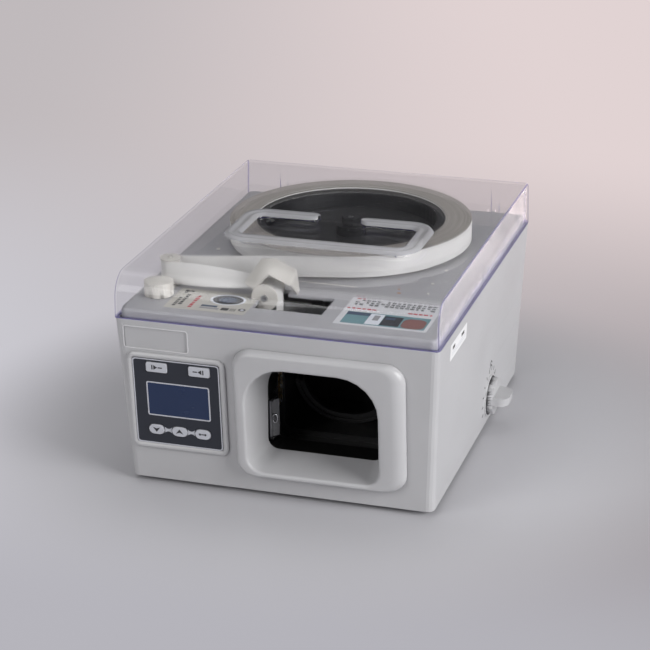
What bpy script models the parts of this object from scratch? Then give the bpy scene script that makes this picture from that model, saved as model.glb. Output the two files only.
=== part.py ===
# Desktop banknote strapping machine: a notched front throat for the stack, a keypad,
# and a roll of paper tape on a reel under a clear hinged lid.
# Metres, +Z up. The front looks along -Y, and the feet stand on z = 0.

from math import acos, atan2, cos, degrees, hypot, pi, radians, sin, tan

import bmesh
import bpy
from mathutils import Matrix, Vector

# Casing
CASE_W = 0.300
CASE_D = 0.366
CASE_H = 0.158
CASE_WALL = 0.003
CASE_CORNER = 0.007
SIDE_DRAFT = 0.007
END_DRAFT = 0.012
BASE_T = 0.002
FOOT_H = 0.005
FOOT_R = 0.009
FOOT_INSET = 0.038
SCREW_R = 0.0015
SCREW_HEAD_R = 0.003
SCREW_HEAD_H = 0.002
FIT = 0.0003

# Deck and lid
DECK_RISE = 0.009
DECK_T = 0.003
DECK_SKIRT = 0.012
DECK_EDGE = 0.003
WINDOW_LEFT = 0.005
WINDOW_W = 0.065
WINDOW_AHEAD = 0.034
WINDOW_L = 0.042
LID_HEADROOM = 0.0066
LID_WALL = 0.0025
LID_INSET = 0.0004
LID_DRAFT = 0.001
LID_FRONT_R = 0.022
LID_EDGE = 0.004
LID_RELIEF = 0.0024
RIDGE_X = 0.006
RIDGE_Y = -0.0345
RIDGE_W = 0.189
RIDGE_L = 0.093
RIDGE_GAP = 0.040
RIDGE_BAR = 0.018
RIDGE_WALL = 0.0022
RIDGE_H = 0.008
RIDGE_GROOVE = 0.002
RIDGE_CORNER = 0.024
HINGE_X = 0.112
HINGE_BACK = 0.0030
HINGE_RISE = 0.0042
HINGE_LUG_R = 0.0036
HINGE_LUG_T = 0.004
HINGE_TONGUE_T = 0.0034
HINGE_PIN_R = 0.0012
HINGE_DROP = 0.022
HINGE_ROOT = 0.0045
HINGE_STEP = 0.002
HINGE_TIP_SHARE = 0.66
HINGE_FLANGE_W = 0.020
HINGE_FLANGE_T = 0.002
HINGE_FLANGE_BELOW = 0.008
HINGE_FLANGE_ABOVE = 0.014

# Front throat and tape loop
THROAT_W = 0.103
THROAT_H = 0.084
THROAT_DROP = 0.041
THROAT_CORNER = 0.016
THROAT_DEPTH = 0.080
FLARE = 0.0095
ARCH_R = 0.036
SILL_R = 0.014
BEZEL_BORDER_L = 0.0120
BEZEL_BORDER_R = 0.0240
BEZEL_BORDER_T = 0.0160
BEZEL_BORDER_B = 0.0060
BEZEL_CORNER = 0.017
BEZEL_PROUD = 0.009
BEZEL_EDGE = 0.0085
BEZEL_ROLL_L = 0.0045
BEZEL_ROLL_R = 0.0115
BEZEL_ROLL_T = 0.0045
BEZEL_ROLL_B = 0.0020
BEZEL_WALL = 0.0025
LINER_WALL = 0.0025
TRACK_WALL = 0.011
TRACK_GROOVE = 0.005
TRACK_LIP = 0.0015
FRAME_T = 0.002
NOTCH_L = 0.018

# Paper tape and its path
TAPE_W = 0.020
TAPE_T = 0.0004
TAPE_SHIFT = 0.0095
TAPE_LIFT = 0.0035
TAPE_SLOT = 0.003
ROLL_INSET = 0.009
ROLL_R = 0.117
ROLL_BORE_R = 0.0915
REEL_FLANGE_R = 0.112
REEL_FLANGE_T = 0.0018
REEL_RIM = 0.008
REEL_FLOOR = 0.0035
REEL_BOSS_R = 0.014
REEL_BOSS_H = 0.009
REEL_SEAT_T = 0.0007
REEL_BELOW_ROLL = 0.001
SPINDLE_R = 0.004
SPINDLE_NECK_R = 0.0028
NUT_R = 0.009
NUT_H = 0.007
POST_INSET = 0.026
POST_BEHIND = 0.006
POST_PIN_R = 0.0025
GUIDE_R = 0.008
GUIDE_FLANGE_R = 0.0098
GUIDE_FLANGE_T = 0.0014
BOSS_AHEAD = 0.0245
BOSS_R = 0.0135
BOSS_H = 0.013
DRUM_R = 0.0095
DRUM_RISE = 0.0025
DRUM_FLANGE_R = 0.0125
DRUM_FLANGE_T = 0.002
HOOD_T = 0.002
HOOD_AHEAD = 0.007
HOOD_BEHIND = 0.0175
HOOD_FRONT_HALF = 0.023
HOOD_BACK_HALF = 0.018
HOOD_FRONT_Z = 0.013
HOOD_RISE = 0.0075
HOOD_GAP = 0.0011

# Tape feed
FEED_R = 0.009
FEED_FLOOR_GAP = 0.0022
FEED_OVER = 0.002
FEED_SHAFT_R = 0.003
FEED_SHAFT_OVER = 0.002
PINCH_R = 0.007
PINCH_SHORT = 0.002
PINCH_AXLE_R = 0.002
LEVER_ARM = 0.0185
LEVER_EYE_R = 0.004
LEVER_FLOOR_GAP = 0.0012
LEVER_T = 0.002
LEVER_PIN_R = 0.002
FEED_PLATE_T = 0.0015
FEED_PLATE_LEFT = 0.007
FEED_PLATE_RIGHT = 0.0295
FEED_MOTOR_SIDE = 0.034
FEED_MOTOR_L = 0.034
FEED_MOTOR_EDGE = 0.002

# Sealing unit
BAR_T = 0.0046
BAR_H = 0.030
BAR_L = 0.046
BAR_PITCH = 0.0064
BAR_SETBACK = 0.0015
BAR_LAP = 0.004
CUTTER_EDGE = 0.003
CAM_R = 0.009
CAM_LIFT = 0.008
CAM_T = 0.0046
CAM_SHAFT_R = 0.003
CAM_SHAFT_OVER = 0.002
CAM_ROOM = 0.002
BLOCK_WALL = 0.003
GEAR_MODULE = 0.00125
GEAR_TEETH = 36
PINION_TEETH = 12
GEAR_T = 0.006
GEAR_BACKLASH = 0.0003
PRESSURE_ANGLE = 20
TOOTH_TIP = 0.85
TOOTH_ROOT = 1.15
CAM_MOTOR_R = 0.016
CAM_MOTOR_L = 0.045
CAM_MOTOR_SHAFT_R = 0.002
FLAP_T = 0.0012
FLAP_L = 0.009
FLAP_H = 0.036
FLAP_RISE = 0.0225
FLAP_PIN_R = 0.0018
FLAP_LUG_T = 0.002
FLAP_ANGLE = 45

# Control panel
PANEL_INSET = 0.057
PANEL_GAP = 0.00775
PANEL_Z = 0.080
PANEL_W = 0.0825
PANEL_H = 0.0855
PANEL_BORDER = 0.0055
PANEL_CORNER = 0.008
PANEL_PROUD = 0.003
OVERLAY_T = 0.0016
LCD_W = 0.058
LCD_H = 0.032
LCD_RISE = 0.003
LCD_SHIFT = 0.001
LCD_CORNER = 0.001
RECT_KEY_W = 0.020
RECT_KEY_H = 0.0095
RECT_KEY_PITCH = 0.0405
RECT_KEY_RISE = 0.035
RECT_KEY_SHIFT = 0.0022
RECT_KEY_CORNER = 0.0015
OVAL_KEY_W = 0.0150
OVAL_KEY_H = 0.0095
OVAL_KEY_PITCH = 0.0222
OVAL_KEY_DROP = 0.0280
OVAL_KEY_SHIFT = 0.0005
KEY_T = 0.0018
KEY_TRAVEL = 0.0006
KEY_GAP = 0.00045
BADGE_INSET = 0.039
BADGE_DROP = 0.016
BADGE_W = 0.060
BADGE_H = 0.0205
BADGE_CORNER = 0.002
BADGE_DEPTH = 0.001
LCD_BOARD_W = 0.072
LCD_BOARD_H = 0.050
LCD_BOARD_T = 0.006

# Side knob
KNOB_Y = 0.040
KNOB_Z = 0.027
KNOB_R = 0.0178
KNOB_T = 0.0055
KNOB_WING_L = 0.033
KNOB_WING_T = 0.0075
KNOB_WING_H = 0.0144
KNOB_WING_EDGE = 0.0025
KNOB_WING_CORNER = 0.010
KNOB_SHAFT_R = 0.003
DIAL_R = 0.0210
DIAL_T = 0.0015
POT_SIDE = 0.018
POT_T = 0.009

# Power and electronics
INLET_X = -0.080
INLET_Z = 0.040
INLET_FLANGE = 0.003
INLET_WALL = 0.0027
INLET_LIP = 0.0019
INLET_MID = 0.0115
INLET_DEPTH = 0.026
SOCKET_W = 0.0245
SOCKET_H = 0.0175
SOCKET_DEPTH = 0.016
BLADE_T = 0.002
BLADE_W = 0.004
BLADE_SPREAD = 0.007
BLADE_OFFSET = 0.003
BLADE_SHORT = 0.004
ROCKER_W = 0.012
ROCKER_H = 0.020
ROCKER_BODY = 0.006
ROCKER_TILT = 7
ROCKER_STAND = 0.001
ROCKER_PIN_DEPTH = 0.0045
ROCKER_CLEAR = 0.001
ROCKER_EAR = 0.0016
ROCKER_DIP = 0.0008
CORE_X = -0.070
CORE_Y = 0.085
CORE_W = 0.066
CORE_L = 0.045
CORE_H = 0.055
COIL_W = 0.044
COIL_L = 0.062
COIL_H = 0.034
COIL_EDGE = 0.003
BOARD_X = 0.060
BOARD_Y = 0.085
BOARD_W = 0.120
BOARD_L = 0.110
BOARD_T = 0.0016
STANDOFF_R = 0.003
STANDOFF_H = 0.010
CHIP_SIDE = 0.018
CHIP_H = 0.004
RELAY_SIDE = 0.016
RELAY_H = 0.014
PLUG_INSET = 0.020
PLUG_SIDE = 0.014
PLUG_H = 0.010

# Places that follow from the sizes above
RIM_Z = FOOT_H + CASE_H
DECK_Z = RIM_Z + DECK_RISE
LID_Z = RIM_Z + LID_INSET
LID_TOP = DECK_Z + TAPE_LIFT + TAPE_W + LID_HEADROOM + LID_WALL
LID_H = LID_TOP - LID_Z
BASE_TOP = FOOT_H + BASE_T
FRONT_TILT = atan2(END_DRAFT, CASE_H)
SIDE_TILT = atan2(SIDE_DRAFT, CASE_H)
ROLL_Y = CASE_D / 2 - ROLL_INSET - ROLL_R
TAPE_Y = (ROLL_Y - ROLL_R - CASE_D / 2) / 2 + TAPE_SHIFT
TAPE_Z = DECK_Z + TAPE_LIFT + TAPE_W / 2
TAPE_GAP = FIT + TAPE_T / 2
PANEL_X = PANEL_INSET - CASE_W / 2
PANEL_RIGHT = PANEL_X + PANEL_W / 2 + PANEL_BORDER
BADGE_X = BADGE_INSET - CASE_W / 2
BADGE_Z = CASE_H - BADGE_DROP
THROAT_X0 = PANEL_RIGHT + PANEL_GAP + BEZEL_BORDER_L + FLARE
THROAT_X1 = THROAT_X0 + THROAT_W
THROAT_X = (THROAT_X0 + THROAT_X1) / 2
THROAT_Z1 = RIM_Z - THROAT_DROP
THROAT_Z0 = THROAT_Z1 - THROAT_H
TRACK_DEPTH = TAPE_W + 2 * (FIT + TRACK_LIP)
TRACK_Y0 = TAPE_Y - TRACK_DEPTH / 2
TRACK_Y1 = TAPE_Y + TRACK_DEPTH / 2
TRACK_TOP = THROAT_Z1 + TRACK_WALL
LINER_Y0 = TRACK_Y1 + FIT
LINER_Y1 = LINER_Y0 + THROAT_DEPTH
POST_X = POST_INSET - CASE_W / 2
POST_Y = TAPE_Y + POST_BEHIND
BOSS_Y = TAPE_Y - BOSS_AHEAD
HOOD_FRONT_Y = TAPE_Y - HOOD_AHEAD
HOOD_BACK_Y = TAPE_Y + HOOD_BEHIND
HOOD_BACK_Z = LID_TOP - LID_WALL - HOOD_GAP - HOOD_RISE - DECK_Z
DRUM_X = THROAT_X0 - TAPE_GAP - DRUM_R
DRUM_Z = DECK_Z + DRUM_RISE
DRUM_FRONT = TRACK_Y0 - DRUM_FLANGE_T
WINDOW_X0 = DRUM_X - WINDOW_LEFT
WINDOW_Y0 = TAPE_Y - WINDOW_AHEAD
TAPE_DOWN_X = DRUM_X + DRUM_R + TAPE_GAP
FEED_L = TAPE_W + FEED_OVER
FEED_FLOOR = TRACK_TOP + FIT + FEED_PLATE_T
FEED_Z = FEED_FLOOR + FEED_FLOOR_GAP + FEED_R
FEED_X = TAPE_DOWN_X + TAPE_GAP + FEED_R
PINCH_L = TAPE_W - PINCH_SHORT
PINCH_X = TAPE_DOWN_X - TAPE_GAP - PINCH_R
LEVER_X = PINCH_X - LEVER_ARM
LEVER_Z = FEED_FLOOR + LEVER_FLOOR_GAP + LEVER_EYE_R
LEVER_DROP = FEED_Z - LEVER_Z
FEED_PLATE_X0 = LEVER_X - FEED_PLATE_LEFT
FEED_PLATE_X1 = FEED_X + FEED_PLATE_RIGHT
BAR_Z_MID = (THROAT_Z0 + THROAT_Z1) / 2
BAR_X1 = THROAT_X0 - BAR_SETBACK
BAR_X0 = BAR_X1 - BAR_L
CAM_X = BAR_X0 - CAM_R - CAM_LIFT - FIT
BLOCK_HALF = BAR_PITCH + BAR_T / 2 + FIT + BLOCK_WALL
BLOCK_X1 = THROAT_X0 - TRACK_WALL - FIT
GEAR_Y0 = TAPE_Y + BLOCK_HALF + FIT
GEAR_SPAN = GEAR_MODULE * (GEAR_TEETH + PINION_TEETH) / 2
PINION_Z = BAR_Z_MID - GEAR_SPAN
FLAP_MID = THROAT_Z0 + FLAP_RISE
FLAP_LOW = FLAP_MID - FLAP_H / 2
FLAP_HIGH = FLAP_MID + FLAP_H / 2
FLAP_X = THROAT_X0 - 2 * FLAP_PIN_R
FLAP_Y = TRACK_Y0 - FLAP_L - 2 * FIT
HINGE_Y = CASE_D / 2 - LID_INSET + HINGE_BACK
HINGE_Z = RIM_Z + HINGE_RISE
INLET_W = 2 * (INLET_FLANGE + INLET_WALL + FIT) + SOCKET_W + INLET_MID + ROCKER_W
INLET_H = 2 * (INLET_FLANGE + INLET_LIP + 2 * FIT) + ROCKER_H
SOCKET_X = INLET_X - INLET_W / 2 + INLET_FLANGE + INLET_WALL + SOCKET_W / 2
SWITCH_X = INLET_X + INLET_W / 2 - INLET_FLANGE - INLET_WALL - FIT - ROCKER_W / 2
ROCKER_OUT = INLET_FLANGE + ROCKER_STAND

for old in list(bpy.data.objects):
    bpy.data.objects.remove(old, do_unlink=True)


def collection(name):
    made = bpy.data.collections.new(name)
    bpy.context.scene.collection.children.link(made)
    return made


parts = collection("strapping_machine")
cutters = collection("cutters")


def material(name, colour, roughness, metallic=0.0, clear=0.0):
    made = bpy.data.materials.new(name)
    made.use_nodes = True
    shader = made.node_tree.nodes["Principled BSDF"]
    shader.inputs["Base Color"].default_value = (*colour, 1.0)
    shader.inputs["Roughness"].default_value = roughness
    shader.inputs["Metallic"].default_value = metallic
    shader.inputs["Transmission Weight"].default_value = clear
    made.diffuse_color = (*colour, 1.0)
    return made


shell_grey = material("shell_grey", (0.47, 0.47, 0.48), 0.5)
deck_grey = material("deck_grey", (0.28, 0.28, 0.29), 0.45)
clear_plastic = material("clear_plastic", (0.9, 0.92, 0.97), 0.05, clear=1.0)
black_plastic = material("black_plastic", (0.012, 0.012, 0.013), 0.4)
white_plastic = material("white_plastic", (0.75, 0.73, 0.68), 0.4)
slate_film = material("slate_film", (0.026, 0.032, 0.048), 0.35)
lcd_glass = material("lcd_glass", (0.012, 0.024, 0.075), 0.1)
key_grey = material("key_grey", (0.5, 0.52, 0.58), 0.5)
paper = material("paper", (0.72, 0.69, 0.62), 0.85)
rubber = material("rubber", (0.02, 0.02, 0.02), 0.9)
bright_steel = material("bright_steel", (0.6, 0.6, 0.62), 0.25, metallic=1.0)
zinc_steel = material("zinc_steel", (0.45, 0.45, 0.47), 0.4, metallic=1.0)
cast_alloy = material("cast_alloy", (0.4, 0.41, 0.42), 0.55, metallic=1.0)
brass = material("brass", (0.7, 0.5, 0.2), 0.3, metallic=1.0)
board_green = material("board_green", (0.02, 0.12, 0.05), 0.5)


def empty(name, location, parent=None, rotation=(0.0, 0.0, 0.0)):
    made = bpy.data.objects.new(name, None)
    made.location = location
    made.rotation_euler = rotation
    made.parent = parent
    parts.objects.link(made)
    return made


def joint(name, point, parent):
    """An empty on a joint's axis, whose children still use the parent's coordinates."""
    made = empty(name, point, parent)
    made["on_axis"] = True
    return made


def place(name, mesh, parent, look, hidden=False):
    made = bpy.data.objects.new(name, mesh)
    made.parent = parent
    if parent.get("on_axis"):
        made.matrix_parent_inverse = Matrix.Translation(-parent.location)
    if hidden:
        made.hide_render = True
        made.display_type = "WIRE"
        cutters.objects.link(made)
    else:
        mesh.materials.append(look)
        parts.objects.link(made)
    return made


def mesh_of(name, shape, smooth=False):
    mesh = bpy.data.meshes.new(name)
    bmesh.ops.recalc_face_normals(shape, faces=shape.faces)
    shape.to_mesh(mesh)
    shape.free()
    if smooth:
        mesh.shade_smooth()
        mesh.set_sharp_from_angle(angle=radians(35))
    return mesh


def block(name, low, high, parent, look=None, edge=0.0):
    """A box between two corners. One with no look is a cutter."""
    shape = bmesh.new()
    bmesh.ops.create_cube(shape, size=1.0)
    size = [b - a for a, b in zip(low, high)]
    bmesh.ops.scale(shape, vec=size, verts=shape.verts)
    made = place(name, mesh_of(name, shape), parent, look, hidden=look is None)
    made.location = [(a + b) / 2 for a, b in zip(low, high)]
    if edge:
        round_edges(made, edge)
    return made


def round_edges(made, width, segments=2):
    bevel = made.modifiers.new("edges", "BEVEL")
    bevel.width = width
    bevel.segments = segments
    bevel.limit_method = "ANGLE"
    return bevel


def rod(name, radius, start, end, parent, look=None, sides=16):
    """A cylinder between two points. One with no look is a cutter."""
    start, end = Vector(start), Vector(end)
    shape = bmesh.new()
    bmesh.ops.create_cone(
        shape, cap_ends=True, segments=sides, radius1=radius, radius2=radius, depth=(end - start).length
    )
    made = place(name, mesh_of(name, shape, smooth=True), parent, look, hidden=look is None)
    made.location = (start + end) / 2
    made.rotation_euler = (end - start).to_track_quat("Z", "Y").to_euler()
    return made


def turned(name, profile, parent, look, location, sides=48):
    """A profile of (radius, height) points turned about Z, run down its outer side."""
    shape = bmesh.new()
    ring = [shape.verts.new((radius, 0.0, height)) for radius, height in profile]
    for first, second in zip(ring, ring[1:] + ring[:1]):
        if first.co.x or second.co.x:
            shape.edges.new((first, second))
    mesh = bpy.data.meshes.new(name)
    shape.to_mesh(mesh)
    shape.free()
    made = place(name, mesh, parent, look)
    made.location = location
    screw = made.modifiers.new("turn", "SCREW")
    screw.axis = "Z"
    screw.steps = sides
    screw.render_steps = sides
    screw.use_merge_vertices = True
    screw.merge_threshold = 0.00001
    return made


def arc(x, y, radius, start, end, steps):
    """Points on an arc, angles in degrees, both ends included."""
    turns = [radians(start + (end - start) * i / steps) for i in range(steps + 1)]
    return [(x + radius * cos(a), y + radius * sin(a)) for a in turns]


def rounded(x0, x1, y0, y1, radii, steps=4):
    """A rectangle with arcs of the four radii, from the lower left corner round to the right."""
    low_left, low_right, top_right, top_left = radii
    return (
        arc(x0 + low_left, y0 + low_left, low_left, 180, 270, steps)
        + arc(x1 - low_right, y0 + low_right, low_right, 270, 360, steps)
        + arc(x1 - top_right, y1 - top_right, top_right, 0, 90, steps)
        + arc(x0 + top_left, y1 - top_left, top_left, 90, 180, steps)
    )


def plate(name, outlines, thickness, parent, look=None, location=(0, 0, 0), rotation=(0, 0, 0)):
    """A flat outline, with any holes, given a thickness about its own plane."""
    curve = bpy.data.curves.new(name, "CURVE")
    curve.dimensions = "2D"
    curve.fill_mode = "BOTH"
    curve.extrude = thickness / 2
    for outline in outlines:
        spline = curve.splines.new("POLY")
        spline.points.add(len(outline) - 1)
        for point, (x, y) in zip(spline.points, outline):
            point.co = (x, y, 0.0, 1.0)
        spline.use_cyclic_u = True
    flat = bpy.data.objects.new(name + "_outline", curve)
    bpy.context.scene.collection.objects.link(flat)
    graph = bpy.context.evaluated_depsgraph_get()
    mesh = bpy.data.meshes.new_from_object(flat.evaluated_get(graph))
    bpy.data.objects.remove(flat, do_unlink=True)
    shape = bmesh.new()
    shape.from_mesh(mesh)
    bmesh.ops.remove_doubles(shape, verts=shape.verts, dist=0.000001)
    made = place(name, mesh_of(name, shape), parent, look, hidden=look is None)
    made.location = location
    made.rotation_euler = rotation
    return made


def loft(name, sections, parent, look=None, ring=False):
    """Sections of as many points each, skinned in turn. A ring joins its last to its first."""
    shape = bmesh.new()
    rows = [[shape.verts.new(point) for point in section] for section in sections]
    pairs = list(zip(rows, rows[1:]))
    if ring:
        pairs.append((rows[-1], rows[0]))
    else:
        shape.faces.new(rows[0])
        shape.faces.new(rows[-1])
    for lower, upper in pairs:
        for i in range(len(lower)):
            j = (i + 1) % len(lower)
            shape.faces.new((lower[i], lower[j], upper[j], upper[i]))
    return place(name, mesh_of(name, shape, smooth=True), parent, look, hidden=look is None)


def combine(target, tool, operation):
    boolean = target.modifiers.new(tool.name, "BOOLEAN")
    boolean.object = tool
    boolean.operation = operation
    boolean.solver = "EXACT"


def cut(target, *tools):
    for tool in tools:
        combine(target, tool, "DIFFERENCE")


def add(target, *tools):
    for tool in tools:
        combine(target, tool, "UNION")


def rise(z):
    """How far up the casing a height is, from 0 at its bottom edge to 1 at its rim."""
    return (z - FOOT_H) / CASE_H


def side_x(z):
    return CASE_W / 2 - SIDE_DRAFT * (1 - rise(z))


def end_y(z):
    return CASE_D / 2 - END_DRAFT * (1 - rise(z))


machine = empty("machine", (0, 0, 0))
front_face = empty("front_face", (0, -end_y(FOOT_H), FOOT_H), machine, (FRONT_TILT, 0, 0))
back_face = empty("back_face", (0, end_y(FOOT_H), FOOT_H), machine, (-FRONT_TILT, 0, 0))
right_face = empty("right_face", (side_x(FOOT_H), 0, FOOT_H), machine, (0, SIDE_TILT, 0))
UPRIGHT = (pi / 2, 0, 0)
ALONG_X = (pi / 2, 0, pi / 2)


def casing():
    shape = bmesh.new()
    bmesh.ops.create_cube(shape, size=1.0)
    for vert in shape.verts:
        low = vert.co.z < 0
        z = FOOT_H if low else RIM_Z
        vert.co.x = side_x(z) * (1 if vert.co.x > 0 else -1)
        vert.co.y = end_y(z) * (1 if vert.co.y > 0 else -1)
        vert.co.z = z
    ends = [f for f in shape.faces if abs(f.normal.z) > 0.9]
    bmesh.ops.delete(shape, geom=ends, context="FACES_ONLY")
    corners = [e for e in shape.edges if abs(e.verts[0].co.z - e.verts[1].co.z) > CASE_H / 2]
    bmesh.ops.bevel(shape, geom=corners, offset=CASE_CORNER, segments=4, profile=0.5, affect="EDGES")
    made = place("casing", mesh_of("casing", shape, smooth=True), machine, shell_grey)
    wall = made.modifiers.new("wall", "SOLIDIFY")
    wall.thickness = CASE_WALL
    wall.offset = -1.0
    wall.use_even_offset = True
    add(made, dial_boss())
    cut(made, throat_hole(), lcd_hole(), badge_recess(), shaft_hole(), inlet_hole())
    return made


def dial_boss():
    return rod(
        "dial_boss",
        DIAL_R,
        (-CASE_WALL / 2, KNOB_Y, KNOB_Z),
        (DIAL_T, KNOB_Y, KNOB_Z),
        right_face,
        sides=40,
    )


def shaft_hole():
    low = (-2 * CASE_WALL, KNOB_Y, KNOB_Z)
    return rod("shaft_hole", KNOB_SHAFT_R + FIT, low, (3 * DIAL_T, KNOB_Y, KNOB_Z), right_face)


def throat_hole():
    gap = BEZEL_WALL + 2 * FIT
    depth = END_DRAFT + 4 * CASE_WALL
    middle = -end_y((THROAT_Z0 + THROAT_Z1) / 2)
    return plate("throat_hole", [mouth(gap)], depth, machine, None, (0, middle, 0), UPRIGHT)


def lcd_hole():
    x, z = PANEL_X + LCD_SHIFT, PANEL_Z + LCD_RISE
    low = (x - LCD_W / 2, -CASE_WALL, z - LCD_H / 2)
    high = (x + LCD_W / 2, 2 * CASE_WALL, z + LCD_H / 2)
    return block("lcd_hole", low, high, front_face)


def badge_recess():
    half_w, half_h = BADGE_W / 2, BADGE_H / 2
    outline = rounded(
        BADGE_X - half_w, BADGE_X + half_w, BADGE_Z - half_h, BADGE_Z + half_h, [BADGE_CORNER] * 4
    )
    return plate("badge_recess", [outline], 2 * BADGE_DEPTH, front_face, rotation=UPRIGHT)


def inlet_hole():
    half_w = INLET_W / 2 - INLET_FLANGE + FIT
    half_h = INLET_H / 2 - INLET_FLANGE + FIT
    low = (INLET_X - half_w, -3 * CASE_WALL, INLET_Z - half_h)
    high = (INLET_X + half_w, 2 * CASE_WALL, INLET_Z + half_h)
    return block("inlet_hole", low, high, back_face)


def mouth(grow, inset=0.0):
    """The throat's front outline, widened by grow or drawn in to the tape loop by inset."""
    sizes = [SILL_R, SILL_R, ARCH_R, ARCH_R]
    radii = [max(radius + grow - inset, THROAT_CORNER / 2) for radius in sizes]
    reach = FLARE + grow - inset
    return rounded(
        THROAT_X0 - reach, THROAT_X1 + reach, THROAT_Z0 - reach, THROAT_Z1 + reach, radii, steps=6
    )


def throat_bezel():
    """A raised rounded frame whose opening flares in to the tape loop."""

    def on_front(outline, proud):
        return [(x, -end_y(z) - proud, z) for x, z in outline]

    def frame(share):
        """The outer edge, rolled in by a share of each side's own roll."""
        return rounded(
            THROAT_X0 - FLARE - BEZEL_BORDER_L + BEZEL_ROLL_L * share,
            THROAT_X1 + FLARE + BEZEL_BORDER_R - BEZEL_ROLL_R * share,
            THROAT_Z0 - FLARE - BEZEL_BORDER_B + BEZEL_ROLL_B * share,
            THROAT_Z1 + FLARE + BEZEL_BORDER_T - BEZEL_ROLL_T * share,
            [BEZEL_CORNER - BEZEL_ROLL_B * share] * 4,
            steps=6,
        )

    sections = [on_front(frame(0.0), FIT), on_front(frame(0.0), BEZEL_PROUD - BEZEL_EDGE)]
    for turn in (22.5, 45, 67.5, 90):
        proud = BEZEL_PROUD - BEZEL_EDGE * (1 - sin(radians(turn)))
        sections.append(on_front(frame(1 - cos(radians(turn))), proud))
    lip = BEZEL_WALL
    sections.append(on_front(mouth(lip), BEZEL_PROUD))
    sections.append(on_front(mouth(lip * 0.3), BEZEL_PROUD - lip * 0.3))
    sections.append(on_front(mouth(0.0), BEZEL_PROUD - lip))
    back = TRACK_Y0 - FIT
    sections.append([(x, back, z) for x, z in mouth(0.0, FLARE)])
    sections.append([(x, back, z) for x, z in mouth(BEZEL_WALL, FLARE)])
    sections.append(on_front(mouth(BEZEL_WALL), FIT))
    made = loft("throat_bezel", sections, machine, shell_grey, ring=True)
    cut(made, bezel_notch())
    return made


def bezel_notch():
    """The left wall is cut back where the clamp bars work, under a slanted edge."""
    shape = bmesh.new()
    bmesh.ops.create_cube(shape, size=1.0)
    low = FLAP_LOW - FLAP_LUG_T - 6 * FIT
    high = FLAP_HIGH + FLAP_LUG_T
    for vert in shape.verts:
        back = vert.co.y > 0
        x = THROAT_X0 + (FLARE if vert.co.x > 0 else -3 * FLARE)
        y = TRACK_Y0 + FIT if back else TRACK_Y0 - NOTCH_L
        vert.co = (x, y, low if vert.co.z < 0 else high + (NOTCH_L / 2 if back else 0.0))
    return place("bezel_notch", mesh_of("bezel_notch", shape), machine, None, hidden=True)


def base_plate():
    half_w = side_x(FOOT_H) - CASE_WALL / cos(SIDE_TILT) - FIT
    half_d = end_y(FOOT_H) - CASE_WALL / cos(FRONT_TILT) - FIT
    outline = rounded(-half_w, half_w, -half_d, half_d, [CASE_CORNER] * 4)
    holes = [arc(x, y, SCREW_R + FIT, 0, 337.5, 15) for x, y in screw_places()]
    return plate(
        "base_plate",
        [outline] + holes,
        BASE_T,
        machine,
        zinc_steel,
        location=(0, 0, FOOT_H + BASE_T / 2),
    )


def feet():
    x = side_x(FOOT_H) - FOOT_INSET
    y = end_y(FOOT_H) - FOOT_INSET
    profile = [(FOOT_R, FOOT_H - FIT), (FOOT_R * 0.85, 0), (0, 0), (0, FOOT_H - FIT)]
    for name, side, end in (
        ("foot_front_left", -1, -1),
        ("foot_front_right", 1, -1),
        ("foot_back_left", -1, 1),
        ("foot_back_right", 1, 1),
    ):
        turned(name, profile, machine, rubber, (side * x, end * y, 0), sides=16)


def screw_places():
    half = THROAT_W / 2 - 2 * SCREW_HEAD_R
    inset = 3 * SCREW_HEAD_R
    return [
        (THROAT_X + side * half, y)
        for side in (-1, 1)
        for y in (LINER_Y0 + inset, LINER_Y1 - inset)
    ]


def base_screws():
    """They come up through the base into the frame's flange."""
    top = BASE_TOP + FIT + FRAME_T
    under = FOOT_H - FIT
    profile = [
        (SCREW_R, top),
        (SCREW_R, under),
        (SCREW_HEAD_R, under),
        (SCREW_HEAD_R * 0.8, under - SCREW_HEAD_H),
        (0, under - SCREW_HEAD_H),
        (0, top),
    ]
    for index, (x, y) in enumerate(screw_places()):
        turned(f"base_screw_{index + 1}", profile, machine, zinc_steel, (x, y, 0), sides=12)


def frame_channel():
    """A folded sheet channel that holds the throat liner above the base."""
    inner = THROAT_W / 2 + LINER_WALL + FIT
    outer = inner + FRAME_T
    z0 = BASE_TOP + FIT
    z1 = THROAT_Z1
    outline = [
        (-outer, z0),
        (outer, z0),
        (outer, z1),
        (inner, z1),
        (inner, z0 + FRAME_T),
        (-inner, z0 + FRAME_T),
        (-inner, z1),
        (-outer, z1),
    ]
    made = plate(
        "frame_channel",
        [outline],
        THROAT_DEPTH,
        machine,
        zinc_steel,
        location=(THROAT_X, (LINER_Y0 + LINER_Y1) / 2, 0),
        rotation=UPRIGHT,
    )
    for index, (x, y) in enumerate(screw_places()):
        cut(made, rod(f"frame_hole_{index + 1}", SCREW_R + FIT, (x, y, 0), (x, y, THROAT_Z0 / 2), machine))
    return made


def throat_liner():
    """A box, open to the front, that takes the far half of the note stack."""
    shape = bmesh.new()
    bmesh.ops.create_cube(shape, size=1.0)
    half_w = THROAT_W / 2 + LINER_WALL
    for vert in shape.verts:
        vert.co.x = THROAT_X + (half_w if vert.co.x > 0 else -half_w)
        vert.co.y = LINER_Y1 if vert.co.y > 0 else LINER_Y0
        vert.co.z = THROAT_Z1 + LINER_WALL if vert.co.z > 0 else THROAT_Z0 - LINER_WALL
    front = [f for f in shape.faces if f.normal.y < -0.9]
    bmesh.ops.delete(shape, geom=front, context="FACES_ONLY")
    made = place("throat_liner", mesh_of("throat_liner", shape), machine, black_plastic)
    wall = made.modifiers.new("wall", "SOLIDIFY")
    wall.thickness = LINER_WALL
    wall.offset = -1.0
    wall.use_even_offset = True
    return made


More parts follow.
